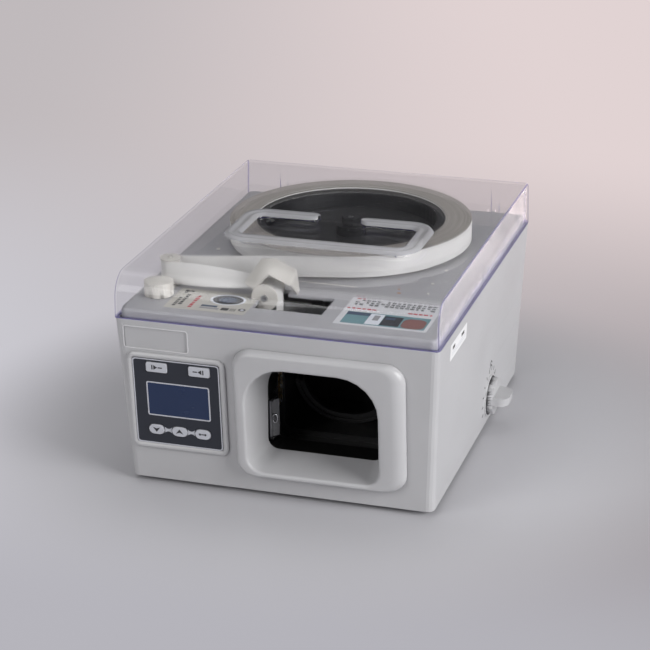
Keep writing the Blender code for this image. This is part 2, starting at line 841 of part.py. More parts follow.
def tape_track():
    """The ring that lays the tape round the stack, with a groove as wide as the tape."""
    x0, x1 = THROAT_X0 - TRACK_WALL, THROAT_X1 + TRACK_WALL
    block_outline = [(x0, BASE_TOP + FIT), (x1, BASE_TOP + FIT), (x1, TRACK_TOP), (x0, TRACK_TOP)]
    made = plate(
        "tape_track",
        [block_outline, mouth(0.0, FLARE)],
        TRACK_DEPTH,
        machine,
        black_plastic,
        location=(0, TAPE_Y, 0),
        rotation=UPRIGHT,
    )
    groove = plate(
        "track_groove",
        [mouth(TRACK_GROOVE, FLARE)],
        TAPE_W + 2 * FIT,
        machine,
        location=(0, TAPE_Y, 0),
        rotation=UPRIGHT,
    )
    half_y = BAR_PITCH + BAR_T / 2 + FIT
    clamp_gap = block(
        "clamp_gap",
        (x0 - FLARE, TAPE_Y - half_y, BAR_Z_MID - BAR_H / 2 - 2 * FIT),
        (THROAT_X0 + TRACK_GROOVE, TAPE_Y + half_y, BAR_Z_MID + BAR_H / 2 + 2 * FIT),
        machine,
    )
    entry = block(
        "tape_entry",
        (TAPE_DOWN_X - TAPE_SLOT / 2, TAPE_Y - TAPE_W / 2 - FIT, THROAT_Z1 - TRACK_WALL),
        (TAPE_DOWN_X + TAPE_SLOT / 2, TAPE_Y + TAPE_W / 2 + FIT, TRACK_TOP + TRACK_WALL),
        machine,
    )
    cut(made, groove, clamp_gap, entry)
    for name, z in (("low", FLAP_LOW - FIT - FLAP_LUG_T), ("high", FLAP_HIGH + FIT)):
        lug = block(
            f"flap_lug_{name}",
            (FLAP_X - 2 * FLAP_PIN_R, FLAP_Y - 2 * FLAP_PIN_R, z),
            (FLAP_X + 2 * FLAP_PIN_R, TRACK_Y0 + TRACK_LIP / 2, z + FLAP_LUG_T),
            machine,
        )
        add(made, lug)
    cut(
        made,
        rod(
            "flap_pin_hole",
            FLAP_PIN_R + FIT,
            (FLAP_X, FLAP_Y, FLAP_LOW - 2 * FLAP_LUG_T),
            (FLAP_X, FLAP_Y, FLAP_HIGH + 2 * FLAP_LUG_T),
            machine,
            sides=12,
        ),
    )
    return made


def deck():
    """The top tray, with its window over the tape feed."""
    low = RIM_Z - DECK_SKIRT
    half_w = side_x(low) - CASE_WALL / cos(SIDE_TILT) - FIT
    half_d = end_y(low) - CASE_WALL / cos(FRONT_TILT) - FIT
    shape = bmesh.new()
    bmesh.ops.create_cube(shape, size=1.0)
    bmesh.ops.scale(shape, vec=(2 * half_w, 2 * half_d, DECK_Z - low), verts=shape.verts)
    upright = [e for e in shape.edges if abs(e.verts[0].co.z - e.verts[1].co.z) > DECK_EDGE]
    bmesh.ops.bevel(shape, geom=upright, offset=CASE_CORNER, segments=3, profile=0.5, affect="EDGES")
    top = (DECK_Z - low) / 2
    crown = [e for e in shape.edges if min(v.co.z for v in e.verts) > top - FIT]
    bmesh.ops.bevel(shape, geom=crown, offset=DECK_EDGE, segments=2, profile=0.5, affect="EDGES")
    floor = [f for f in shape.faces if f.normal.z < -0.9]
    bmesh.ops.delete(shape, geom=floor, context="FACES_ONLY")
    made = place("deck", mesh_of("deck", shape, smooth=True), machine, deck_grey)
    made.location = (0, 0, (DECK_Z + low) / 2)
    wall = made.modifiers.new("wall", "SOLIDIFY")
    wall.thickness = DECK_T
    wall.offset = -1.0
    wall.use_even_offset = True
    window = block(
        "deck_window",
        (WINDOW_X0, WINDOW_Y0, DECK_Z - 2 * DECK_T),
        (WINDOW_X0 + WINDOW_W, WINDOW_Y0 + WINDOW_L, DECK_Z + DECK_T),
        machine,
    )
    pocket = block(
        "drum_pocket",
        (DRUM_X - DRUM_FLANGE_R - 3 * FIT, DRUM_FRONT - 3 * FIT, DECK_Z - 2 * DECK_T),
        (DRUM_X + DRUM_FLANGE_R + DECK_T, HOOD_BACK_Y, DECK_Z + DECK_T),
        machine,
    )
    cut(made, window, pocket)
    return made


lid_hinge = joint("lid_hinge", (0, HINGE_Y, HINGE_Z), machine)


def lid():
    """A clear cover with a rounded front, a raised ridge on top and hinge lugs at its back."""
    half_d = CASE_D / 2 - LID_INSET
    half_w = CASE_W / 2 - LID_INSET
    front = arc(-half_d + LID_FRONT_R, LID_TOP - LID_FRONT_R, LID_FRONT_R, 180, 90, 12)
    back = arc(half_d - LID_EDGE, LID_TOP - LID_EDGE, LID_EDGE, 90, 0, 4)
    profile = [(-half_d, LID_Z)] + front + back + [(half_d, LID_Z)]
    shape = bmesh.new()
    rows = []
    for side in (-1, 1):
        rows.append(
            [shape.verts.new((side * (half_w - LID_DRAFT * (z - LID_Z) / LID_H), y, z)) for y, z in profile]
        )
    for row in rows:
        shape.faces.new(row)
    for i in range(len(profile) - 1):
        shape.faces.new((rows[0][i], rows[0][i + 1], rows[1][i + 1], rows[1][i]))
    sides = [e for e in shape.edges if e.verts[0].co.x * e.verts[1].co.x > 0 and len(e.link_faces) == 2]
    bmesh.ops.recalc_face_normals(shape, faces=shape.faces)
    bmesh.ops.bevel(shape, geom=sides, offset=LID_EDGE * 0.7, segments=3, profile=0.5, affect="EDGES")
    made = place("lid", mesh_of("lid", shape, smooth=True), lid_hinge, clear_plastic)
    wall = made.modifiers.new("wall", "SOLIDIFY")
    wall.thickness = LID_WALL
    wall.offset = -1.0
    wall.use_even_offset = True
    relief = block(
        "lid_back_relief",
        (LID_WALL * 4 - half_w, half_d - 2 * LID_WALL, LID_Z - LID_WALL),
        (half_w - LID_WALL * 4, half_d + LID_WALL, LID_Z + LID_RELIEF),
        lid_hinge,
    )
    cut(made, relief)
    add(made, ridge_bar("lid_ridge", RIDGE_BAR, RIDGE_H, -LID_WALL / 3))
    cut(made, ridge_bar("ridge_hollow", RIDGE_BAR - 2 * RIDGE_WALL, RIDGE_H - RIDGE_WALL, -2 * LID_WALL))
    for side in (-1, 1):
        for half in (-1, 1):
            add(made, lid_lug(side, half))
        cut(made, pin_hole(side))
    return made


def ridge_bar(name, width, top, foot):
    """A grooved bar in a flat C on the lid, open at the back, from foot to top above the roof."""
    half_w = (RIDGE_W - RIDGE_BAR) / 2
    half_l = (RIDGE_L - RIDGE_BAR) / 2
    end = (RIDGE_GAP + RIDGE_BAR) / 2
    flank = [(0.5, foot), (0.46, top * 0.6), (0.3, top), (0.12, top - RIDGE_GROOVE * 0.4)]
    profile = flank + [(0.0, top - RIDGE_GROOVE)] + [(-share, z) for share, z in reversed(flank)]
    lines = []
    for share, z in profile:
        out = share * width
        corners = rounded(
            RIDGE_X - half_w - out,
            RIDGE_X + half_w + out,
            RIDGE_Y - half_l - out,
            RIDGE_Y + half_l + out,
            [RIDGE_CORNER - RIDGE_BAR / 2 + out] * 4,
            steps=6,
        )
        back_left = 3 * len(corners) // 4
        nose = [
            (end - width / 2 * sin(radians(turn)), RIDGE_Y + half_l + out * cos(radians(turn)))
            for turn in (0, 30, 60, 80)
        ]
        line = [(RIDGE_X - x, y) for x, y in reversed(nose)]
        line += corners[back_left:] + corners[:back_left]
        line += [(RIDGE_X + x, y) for x, y in nose]
        lines.append([(x, y, LID_TOP + z) for x, y in line])
    return loft(name, list(zip(*lines)), lid_hinge)


def lid_lug(side, half):
    """One of a pair of upright ribs that end in an eye on the hinge axis."""
    wall = HINGE_Y - HINGE_BACK - LID_WALL / 2
    eye = arc(HINGE_Y, HINGE_Z, HINGE_LUG_R, -120, 20, 6)
    top = LID_TOP - LID_EDGE
    outline = [(wall, LID_Z)] + eye + [(HINGE_Y - HINGE_BACK / 2, top), (wall, top)]
    x = side * HINGE_X + half * (HINGE_TONGUE_T / 2 + FIT + HINGE_LUG_T / 2)
    name = f"lug_{'left' if side < 0 else 'right'}_{'a' if half < 0 else 'b'}"
    return plate(name, [outline], HINGE_LUG_T, lid_hinge, location=(x, 0, 0), rotation=ALONG_X)


def pin_hole(side):
    reach = HINGE_TONGUE_T + 2 * HINGE_LUG_T
    low = (side * HINGE_X - reach, HINGE_Y, HINGE_Z)
    high = (side * HINGE_X + reach, HINGE_Y, HINGE_Z)
    name = "pin_hole_left" if side < 0 else "pin_hole_right"
    found = bpy.data.objects.get(name)
    return found or rod(name, HINGE_PIN_R + FIT, low, high, machine)


def hinges():
    """A tongue screwed to the back of the casing stands between each pair of lugs."""
    for name, side in (("left", -1), ("right", 1)):
        low = RIM_Z - HINGE_DROP
        tip = HINGE_LUG_R * HINGE_TIP_SHARE
        step = RIM_Z - HINGE_STEP
        outline = (
            [(end_y(low) + FIT, low), (end_y(low) + HINGE_ROOT, low), (HINGE_Y + tip, HINGE_Z - tip)]
            + arc(HINGE_Y, HINGE_Z, tip, 0, 180, 6)
            + [(CASE_D / 2 + FIT, step), (end_y(step) + FIT, step)]
        )
        bracket = plate(
            f"hinge_bracket_{name}",
            [outline],
            HINGE_TONGUE_T,
            machine,
            zinc_steel,
            location=(side * HINGE_X, 0, 0),
            rotation=ALONG_X,
        )
        flange = block(
            f"hinge_flange_{name}",
            (side * HINGE_X - HINGE_FLANGE_W / 2, 2 * FIT, low - FOOT_H - HINGE_FLANGE_BELOW),
            (side * HINGE_X + HINGE_FLANGE_W / 2, HINGE_FLANGE_T, low - FOOT_H + HINGE_FLANGE_ABOVE),
            back_face,
        )
        add(bracket, flange)
        cut(bracket, pin_hole(side))
        reach = HINGE_TONGUE_T / 2 + FIT + HINGE_LUG_T + FIT
        rod(
            f"hinge_pin_{name}",
            HINGE_PIN_R,
            (side * HINGE_X - reach, HINGE_Y, HINGE_Z),
            (side * HINGE_X + reach, HINGE_Y, HINGE_Z),
            machine,
            bright_steel,
            sides=12,
        )


reel_axis = joint("reel_axis", (0, ROLL_Y, DECK_Z), machine)


def reel():
    """A spindle on the deck, the black hub that turns on it, the nut and the tape roll."""
    seat = FIT + REEL_SEAT_T
    flange_z = TAPE_LIFT - FIT
    top = TAPE_LIFT + TAPE_W - REEL_BELOW_ROLL
    floor = flange_z + REEL_FLOOR
    boss_top = floor + REEL_BOSS_H
    spindle_top = boss_top + FIT + NUT_H
    base = (0, ROLL_Y, DECK_Z)
    turned(
        "reel_spindle",
        [
            (SPINDLE_R, boss_top - FIT),
            (SPINDLE_R, seat),
            (REEL_BOSS_R, seat),
            (REEL_BOSS_R, FIT),
            (0, FIT),
            (0, spindle_top),
            (SPINDLE_NECK_R, spindle_top),
            (SPINDLE_NECK_R, boss_top - FIT),
        ],
        machine,
        bright_steel,
        base,
        sides=20,
    )
    hub_r = ROLL_BORE_R - FIT
    turned(
        "reel_hub",
        [
            (hub_r, top),
            (hub_r, flange_z),
            (REEL_FLANGE_R, flange_z),
            (REEL_FLANGE_R, flange_z - REEL_FLANGE_T),
            (SPINDLE_R + FIT, flange_z - REEL_FLANGE_T),
            (SPINDLE_R + FIT, boss_top),
            (REEL_BOSS_R, boss_top),
            (REEL_BOSS_R, floor),
            (hub_r - REEL_RIM, floor),
            (hub_r - REEL_RIM, top),
        ],
        reel_axis,
        black_plastic,
        base,
        sides=64,
    )
    outline = arc(0, 0, NUT_R, 0, 300, 5)
    bore = arc(0, 0, SPINDLE_NECK_R + FIT, 0, 330, 11)
    plate(
        "reel_nut",
        [outline, bore],
        NUT_H,
        machine,
        white_plastic,
        location=(0, ROLL_Y, DECK_Z + boss_top + FIT + NUT_H / 2),
    )
    turned(
        "tape_roll",
        [
            (ROLL_R, TAPE_LIFT + TAPE_W),
            (ROLL_R, TAPE_LIFT),
            (ROLL_BORE_R, TAPE_LIFT),
            (ROLL_BORE_R, TAPE_LIFT + TAPE_W),
        ],
        reel_axis,
        paper,
        base,
        sides=80,
    )


guide_axis = joint("guide_axis", (POST_X, POST_Y, DECK_Z), machine)


def guide_post():
    """A round boss and a low seat carry the pin on which the guide roller turns."""
    seat_top = TAPE_LIFT - GUIDE_FLANGE_T - 3 * FIT
    pin_top = TAPE_LIFT + TAPE_W + 3 * FIT + GUIDE_FLANGE_T
    bracket = turned(
        "roller_bracket",
        [(POST_PIN_R, pin_top), (POST_PIN_R, seat_top), (GUIDE_FLANGE_R, seat_top), (GUIDE_FLANGE_R, FIT)]
        + [(0, FIT), (0, pin_top)],
        machine,
        white_plastic,
        (POST_X, POST_Y, DECK_Z),
        sides=24,
    )
    boss = rod(
        "bracket_boss",
        BOSS_R,
        (POST_X, BOSS_Y, DECK_Z + FIT),
        (POST_X, BOSS_Y, DECK_Z + BOSS_H),
        machine,
        sides=32,
    )
    web = block(
        "bracket_web",
        (POST_X - GUIDE_FLANGE_R * 0.8, BOSS_Y, DECK_Z + FIT),
        (POST_X + GUIDE_FLANGE_R * 0.8, POST_Y, DECK_Z + seat_top - FIT / 2),
        machine,
    )
    add(bracket, boss, web)
    low = seat_top + FIT
    bottom = TAPE_LIFT - FIT
    top = TAPE_LIFT + TAPE_W + FIT
    turned(
        "guide_roller",
        [
            (GUIDE_FLANGE_R, top + GUIDE_FLANGE_T),
            (GUIDE_FLANGE_R, top),
            (GUIDE_R, top),
            (GUIDE_R, bottom),
            (GUIDE_FLANGE_R, bottom),
            (GUIDE_FLANGE_R, low),
            (POST_PIN_R + FIT, low),
            (POST_PIN_R + FIT, top + GUIDE_FLANGE_T),
        ],
        guide_axis,
        white_plastic,
        (POST_X, POST_Y, DECK_Z),
        sides=24,
    )


def turn_drum():
    """The fixed drum over which the tape bends down, held to the hood by a screw."""
    front, back = DRUM_FRONT, HOOD_BACK_Y - FIT

    def along(y):
        return (DRUM_X, y, DRUM_Z)

    drum = rod("turn_drum", DRUM_R, along(front), along(back), machine, white_plastic, 32)
    add(drum, rod("drum_flange", DRUM_FLANGE_R, along(front), along(TRACK_Y0), machine, sides=32))
    reach = 2 * SCREW_R
    cut(drum, rod("drum_bore", SCREW_R + FIT, along(front - reach), along(back + reach), machine))
    head = front - FIT
    under = head - SCREW_HEAD_H
    screw = rod(
        "drum_screw", SCREW_R, along(head - SCREW_HEAD_H / 2), along(back), machine, zinc_steel, 12
    )
    add(screw, rod("drum_screw_head", SCREW_HEAD_R, along(under), along(head), machine, sides=12))


def tape_hood():
    """An arched roof over the drum, higher at the back, on a leg that stands on the deck."""
    steps = 8
    sections = []
    for i in range(steps + 1):
        across = 2 * i / steps - 1
        lift = HOOD_RISE * (1 - across * across)
        front_x = DRUM_X + HOOD_FRONT_HALF * across
        back_x = DRUM_X + HOOD_BACK_HALF * across
        front_z = DECK_Z + HOOD_FRONT_Z + lift
        back_z = DECK_Z + HOOD_BACK_Z + lift
        foot = DECK_Z + FIT
        back = HOOD_BACK_Y + HOOD_T
        sections.append(
            [
                (front_x, HOOD_FRONT_Y, front_z),
                (back_x, back, back_z),
                (back_x, back, foot),
                (back_x, HOOD_BACK_Y, foot),
                (back_x, HOOD_BACK_Y, back_z - HOOD_T),
                (front_x, HOOD_FRONT_Y, front_z - HOOD_T),
            ]
        )
    return loft("tape_hood", sections, machine, white_plastic)


def tape_stations():
    """Middle, width and thickness directions along the tape, from the roll to the loop."""
    up = Vector((0, 0, 1))
    roll = Vector((0, ROLL_Y, TAPE_Z))
    post = Vector((POST_X, POST_Y, TAPE_Z))
    roll_r = ROLL_R + TAPE_GAP
    post_r = GUIDE_R + TAPE_GAP
    apart = roll - post
    lean = atan2(apart.y, apart.x) + acos((roll_r + post_r) / hypot(apart.x, apart.y))
    stations = []
    for i in range(9):
        turn = lean + pi + radians(40) * (1 - i / 8)
        out = Vector((cos(turn), sin(turn), 0))
        stations.append((roll + roll_r * out, up, out))
    for i in range(9):
        turn = lean + (1.5 * pi - lean) * i / 8
        out = Vector((cos(turn), sin(turn), 0))
        stations.append((post + post_r * out, up, out * -1))
    start = stations[-1][0]
    end = Vector((DRUM_X, TAPE_Y, DRUM_Z + DRUM_R + TAPE_GAP))
    for i in range(1, 9):
        share = i / 8
        twist = pi / 2 * share
        across = Vector((0, sin(twist), cos(twist)))
        stations.append((start.lerp(end, share), across, Vector((0, cos(twist), -sin(twist)))))
    depth_way = Vector((0, 1, 0))
    for i in range(1, 7):
        turn = pi / 2 * (1 - i / 6)
        out = Vector((cos(turn), 0, sin(turn)))
        middle = Vector((DRUM_X, TAPE_Y, DRUM_Z)) + (DRUM_R + TAPE_GAP) * out
        stations.append((middle, depth_way, out * -1))
    stations.append((Vector((TAPE_DOWN_X, TAPE_Y, THROAT_Z1 + TRACK_GROOVE)), depth_way, Vector((-1, 0, 0))))
    return stations


def tape_run():
    """The tape from the roll round the post, twisting flat, over the drum and down to the loop."""
    sections = []
    for middle, across, through in tape_stations():
        w, t = across * TAPE_W / 2, through * TAPE_T / 2
        sections.append([middle - w - t, middle + w - t, middle + w + t, middle - w + t])
    return loft("tape_run", sections, machine, paper)


feed_axis = joint("feed_axis", (FEED_X, TAPE_Y, FEED_Z), machine)
lever_axis = joint("lever_axis", (LEVER_X, TAPE_Y, LEVER_Z), machine)
pinch_axis = joint("pinch_axis", (PINCH_X, TAPE_Y, FEED_Z), machine)
FEED_HALF = FEED_L / 2 + 3 * FIT


def feed_frame():
    """A folded sheet between whose cheeks the feed rollers turn, on top of the tape loop."""
    z0 = FEED_FLOOR - FEED_PLATE_T
    z1 = DRUM_Z - DRUM_FLANGE_R - 2 * FIT
    outer = FEED_HALF + FEED_PLATE_T
    outline = [
        (-outer, z0),
        (outer, z0),
        (outer, z1),
        (FEED_HALF, z1),
        (FEED_HALF, FEED_FLOOR),
        (-FEED_HALF, FEED_FLOOR),
        (-FEED_HALF, z1),
        (-outer, z1),
    ]
    width = FEED_PLATE_X1 - FEED_PLATE_X0
    made = plate(
        "feed_frame",
        [outline],
        width,
        machine,
        zinc_steel,
        location=((FEED_PLATE_X0 + FEED_PLATE_X1) / 2, TAPE_Y, 0),
        rotation=ALONG_X,
    )
    reach = 2 * outer
    holes = (
        ("feed_hole", FEED_SHAFT_R + FIT, FEED_X, FEED_Z),
        ("lever_hole", LEVER_PIN_R + FIT, LEVER_X, LEVER_Z),
    )
    for name, radius, x, z in holes:
        cut(made, rod(name, radius, (x, TAPE_Y - reach, z), (x, TAPE_Y + reach, z), machine))
    slot = block(
        "frame_slot",
        (TAPE_DOWN_X - TAPE_SLOT, TAPE_Y - TAPE_W / 2 - FIT, TRACK_TOP - FEED_PLATE_T),
        (TAPE_DOWN_X + TAPE_SLOT, TAPE_Y + TAPE_W / 2 + FIT, z0 + 2 * FEED_PLATE_T),
        machine,
    )
    cut(made, slot)
    return made


def feed_drive():
    """The rubber feed roller on its shaft, and the motor behind the frame that turns it."""
    outer = FEED_HALF + FEED_PLATE_T
    half = FEED_L / 2

    def along(out):
        return (FEED_X, TAPE_Y + out, FEED_Z)

    rod("feed_shaft", FEED_SHAFT_R, along(-outer - FEED_SHAFT_OVER), along(outer), feed_axis, bright_steel)
    roller = rod("feed_roller", FEED_R, along(-half), along(half), feed_axis, rubber, 32)
    cut(roller, rod("feed_bore", FEED_SHAFT_R + FIT, along(-outer), along(outer), feed_axis))
    back = TAPE_Y + outer + FIT
    side = FEED_MOTOR_SIDE / 2
    block(
        "feed_motor",
        (FEED_X - side, back, FEED_Z - side),
        (FEED_X + side, back + FEED_MOTOR_L, FEED_Z + side),
        machine,
        black_plastic,
        edge=FEED_MOTOR_EDGE,
    )


def pinch():
    """A sprung lever holds the pinch roller against the tape."""
    half = PINCH_L / 2
    outer = FEED_HALF + FEED_PLATE_T
    lever = rod(
        "pinch_lever",
        LEVER_PIN_R,
        (LEVER_X, TAPE_Y - outer, LEVER_Z),
        (LEVER_X, TAPE_Y + outer, LEVER_Z),
        lever_axis,
        zinc_steel,
        12,
    )
    eye = LEVER_EYE_R
    lean = degrees(atan2(LEVER_DROP, LEVER_ARM))
    outline = arc(LEVER_ARM, LEVER_DROP, eye, lean - 90, lean + 90, 6)
    outline += arc(0, 0, eye, lean + 90, lean + 270, 6)
    hole = arc(LEVER_ARM, LEVER_DROP, PINCH_AXLE_R + FIT, 0, 330, 11)
    for name, side in (("front", -1), ("back", 1)):
        y = TAPE_Y + side * (half + FIT + LEVER_T / 2)
        arm = plate(
            f"lever_arm_{name}", [outline, hole], LEVER_T, lever_axis, None, (LEVER_X, y, LEVER_Z), UPRIGHT
        )
        add(lever, arm)

    def along(out):
        return (PINCH_X, TAPE_Y + out, FEED_Z)

    roller = rod("pinch_roller", PINCH_R, along(-half), along(half), pinch_axis, rubber, 28)
    reach = half + LEVER_T
    add(roller, rod("pinch_axle", PINCH_AXLE_R, along(-reach), along(reach), pinch_axis, sides=12))


BAR_NAMES = ("clamp_bar", "sealer_bar", "cutter_bar")
cam_axis = joint("cam_axis", (CAM_X, TAPE_Y, BAR_Z_MID), machine)
pinion_axis = joint("pinion_axis", (CAM_X, GEAR_Y0, PINION_Z), machine)


def bar_y(index):
    return TAPE_Y + (index - 1) * BAR_PITCH


def seal_block():
    """A casting that guides the three bars and holds both ends of the cam shaft."""
    cam_room = CAM_R + CAM_LIFT + CAM_ROOM
    x0 = CAM_X - cam_room - BLOCK_WALL
    z0 = BASE_TOP + FIT
    top = BAR_Z_MID + BAR_H / 2 + BLOCK_WALL
    made = block(
        "seal_block",
        (x0, TAPE_Y - BLOCK_HALF, z0),
        (BLOCK_X1, TAPE_Y + BLOCK_HALF, top),
        machine,
        cast_alloy,
    )
    inner = BLOCK_HALF - BLOCK_WALL
    pit = block(
        "cam_pit",
        (x0 + BLOCK_WALL, TAPE_Y - inner, BAR_Z_MID - cam_room),
        (BAR_X0 + BAR_LAP, TAPE_Y + inner, top + BLOCK_WALL),
        machine,
    )
    cut(made, pit)
    for index, name in enumerate(BAR_NAMES):
        half = BAR_T / 2 + FIT
        way = block(
            f"{name}_way",
            (BAR_X0 - CAM_ROOM, bar_y(index) - half, BAR_Z_MID - BAR_H / 2 - FIT),
            (BLOCK_X1 + BLOCK_WALL, bar_y(index) + half, BAR_Z_MID + BAR_H / 2 + FIT),
            machine,
        )
        cut(made, way)
    reach = 2 * BLOCK_HALF
    cut(
        made,
        rod(
            "cam_hole",
            CAM_SHAFT_R + FIT,
            (CAM_X, TAPE_Y - reach, BAR_Z_MID),
            (CAM_X, TAPE_Y + reach, BAR_Z_MID),
            machine,
        ),
    )
    return made


def seal_bars():
    """Clamp, heated sealer and cutter, each pushed through the side of the loop by its cam."""
    looks = (zinc_steel, brass, bright_steel)
    tips = (0.0, 0.0, CUTTER_EDGE)
    for index, name in enumerate(BAR_NAMES):
        y = bar_y(index)
        axis = joint(f"{name}_axis", (BAR_X0, y, BAR_Z_MID), machine)
        made = block(
            name,
            (BAR_X0, y - BAR_T / 2, BAR_Z_MID - BAR_H / 2),
            (BAR_X1, y + BAR_T / 2, BAR_Z_MID + BAR_H / 2),
            axis,
            looks[index],
        )
        if tips[index]:
            bevel_cut = block(
                f"{name}_edge",
                (BAR_X1 - tips[index], y - BAR_T, BAR_Z_MID - BAR_H),
                (BAR_X1 + tips[index], y + BAR_T / 4, BAR_Z_MID + BAR_H),
                axis,
            )
            cut(made, bevel_cut)


def cam_outline():
    """A round cam with one lobe, which points away from the bars at rest."""
    nose_r = CAM_R * 0.4
    out = CAM_R + CAM_LIFT - nose_r
    lean = degrees(acos((CAM_R - nose_r) / out))
    nose = arc(-out, 0, nose_r, 180 - lean, 180 + lean, 6)
    return arc(0, 0, CAM_R, 180 + lean, 540 - lean, 14) + nose


def cam_shaft():
    front = TAPE_Y - BLOCK_HALF - CAM_SHAFT_OVER
    back = GEAR_Y0 + GEAR_T + FIT
    made = rod(
        "cam_shaft", CAM_SHAFT_R, (CAM_X, front, BAR_Z_MID), (CAM_X, back, BAR_Z_MID), cam_axis, bright_steel
    )
    for index, name in enumerate(BAR_NAMES):
        lobe = plate(
            f"{name}_cam", [cam_outline()], CAM_T, cam_axis, None, (CAM_X, bar_y(index), BAR_Z_MID), UPRIGHT
        )
        add(made, lobe)
    return made


def gear_outline(teeth, phase):
    """An involute outline with a tooth centred at the phase, in degrees."""
    flat = radians(PRESSURE_ANGLE)
    pitch = GEAR_MODULE * teeth / 2
    base = pitch * cos(flat)
    tip = pitch + TOOTH_TIP * GEAR_MODULE
    root = pitch - TOOTH_ROOT * GEAR_MODULE
    half = pi / 2 / teeth - GEAR_BACKLASH / pitch / 2

    def spread(radius):
        slant = acos(min(1.0, base / radius))
        return half + (tan(flat) - flat) - (tan(slant) - slant)

    points = []
    for i in range(teeth):
        middle = radians(phase) + 2 * pi * i / teeth
        for side in (-1, 1):
            radii = (root, pitch, tip) if side < 0 else (tip, pitch, root)
            for radius in radii:
                turn = middle + side * spread(max(radius, base))
                points.append((radius * cos(turn), radius * sin(turn)))
    return points


def cam_drive():
    """The large gear on the cam shaft, and the motor with its pinion."""
    middle = GEAR_Y0 + GEAR_T / 2
    bore = arc(0, 0, CAM_SHAFT_R + FIT, 0, 337.5, 15)
    plate(
        "cam_gear",
        [gear_outline(GEAR_TEETH, -90), bore],
        GEAR_T,
        cam_axis,
        white_plastic,
        (CAM_X, middle, BAR_Z_MID),
        UPRIGHT,
    )
    small_bore = arc(0, 0, CAM_MOTOR_SHAFT_R + FIT, 0, 330, 11)
    plate(
        "cam_pinion",
        [gear_outline(PINION_TEETH, 90 + 180 / PINION_TEETH), small_bore],
        GEAR_T,
        pinion_axis,
        brass,
        (CAM_X, middle, PINION_Z),
        UPRIGHT,
    )
    face = GEAR_Y0 + GEAR_T + 2 * FIT
    motor = rod(
        "cam_motor",
        CAM_MOTOR_R,
        (CAM_X, face, PINION_Z),
        (CAM_X, face + CAM_MOTOR_L, PINION_Z),
        machine,
        zinc_steel,
        24,
    )
    shaft = rod(
        "cam_motor_shaft",
        CAM_MOTOR_SHAFT_R,
        (CAM_X, GEAR_Y0, PINION_Z),
        (CAM_X, face + FIT, PINION_Z),
        machine,
        sides=12,
    )
    inset = CAM_MOTOR_L / 4
    foot = block(
        "cam_motor_foot",
        (CAM_X - CAM_MOTOR_R * 0.8, face + inset, BASE_TOP + FIT),
        (CAM_X + CAM_MOTOR_R * 0.8, face + CAM_MOTOR_L - inset, PINION_Z),
        machine,
    )
    add(motor, shaft, foot)


flap_axis = joint("flap_axis", (FLAP_X, FLAP_Y, FLAP_LOW), machine)


def start_flap():
    """A steel flap at the left of the loop, which the inserted stack swings aside."""
    low = (FLAP_X, FLAP_Y, FLAP_LOW - FLAP_LUG_T)
    high = (FLAP_X, FLAP_Y, FLAP_HIGH + FLAP_LUG_T)
    made = rod("start_flap", FLAP_PIN_R, low, high, flap_axis, bright_steel, 12)
    leaf = block("flap_leaf", (0, -FLAP_T / 2, -FLAP_H / 2), (FLAP_L, FLAP_T / 2, FLAP_H / 2), flap_axis)
    half = FLAP_L / 2
    turn = radians(FLAP_ANGLE)
    leaf.location = (FLAP_X + half * cos(turn), FLAP_Y + half * sin(turn), FLAP_MID)
    leaf.rotation_euler.z = turn
    add(made, leaf)


def panel():
    """The keypad: a raised frame, a film with its openings, the display and five keys."""

    def on_face(outline, proud):
        return [(x, -proud, z) for x, z in outline]

    def edge(grow, radius):
        return rounded(
            PANEL_X - PANEL_W / 2 - grow,
            PANEL_X + PANEL_W / 2 + grow,
            PANEL_Z - PANEL_H / 2 - grow,
            PANEL_Z + PANEL_H / 2 + grow,
            [radius] * 4,
        )

    soft = PANEL_PROUD / 2
    inner_r = PANEL_CORNER - PANEL_BORDER
    loft(
        "panel_bezel",
        [
            on_face(edge(PANEL_BORDER, PANEL_CORNER), FIT),
            on_face(edge(PANEL_BORDER, PANEL_CORNER), PANEL_PROUD - soft),
            on_face(edge(PANEL_BORDER - soft, PANEL_CORNER - soft), PANEL_PROUD),
            on_face(edge(FIT + soft, inner_r + soft), PANEL_PROUD),
            on_face(edge(FIT, inner_r), PANEL_PROUD - soft),
            on_face(edge(FIT, inner_r), FIT),
        ],
        front_face,
        shell_grey,
        ring=True,
    )
    lcd = lcd_outline(FIT)
    keys = key_outlines()
    gaps = [outline_grown(points, KEY_GAP) for points in keys.values()]
    flat = OVERLAY_T / 2 + FIT
    film = [edge(0.0, inner_r), lcd] + gaps
    plate("keypad_film", film, OVERLAY_T, front_face, slate_film, (0, -flat, 0), UPRIGHT)
    plate("lcd_window", [lcd_outline(0.0)], OVERLAY_T, front_face, lcd_glass, (0, -flat, 0), UPRIGHT)
    proud = FIT + KEY_TRAVEL + FIT
    for name, points in keys.items():
        x = sum(p[0] for p in points) / len(points)
        z = sum(p[1] for p in points) / len(points)
        axis = joint(f"{name}_axis", (x, 0, z), front_face)
        key = plate(name, [points], KEY_T, axis, key_grey, (0, -proud - KEY_T / 2, 0), UPRIGHT)
        round_edges(key, KEY_T / 4, 1)


def outline_grown(points, gap):
    """The same outline with every point moved out from its middle by the gap."""
    x = sum(p[0] for p in points) / len(points)
    z = sum(p[1] for p in points) / len(points)
    grown = []
    for px, pz in points:
        grown.append((px + (gap if px > x else -gap), pz + (gap if pz > z else -gap)))
    return grown


def lcd_outline(grow):
    x, z = PANEL_X + LCD_SHIFT, PANEL_Z + LCD_RISE
    w, h = LCD_W / 2 + grow, LCD_H / 2 + grow
    return rounded(x - w, x + w, z - h, z + h, [LCD_CORNER] * 4, steps=1)


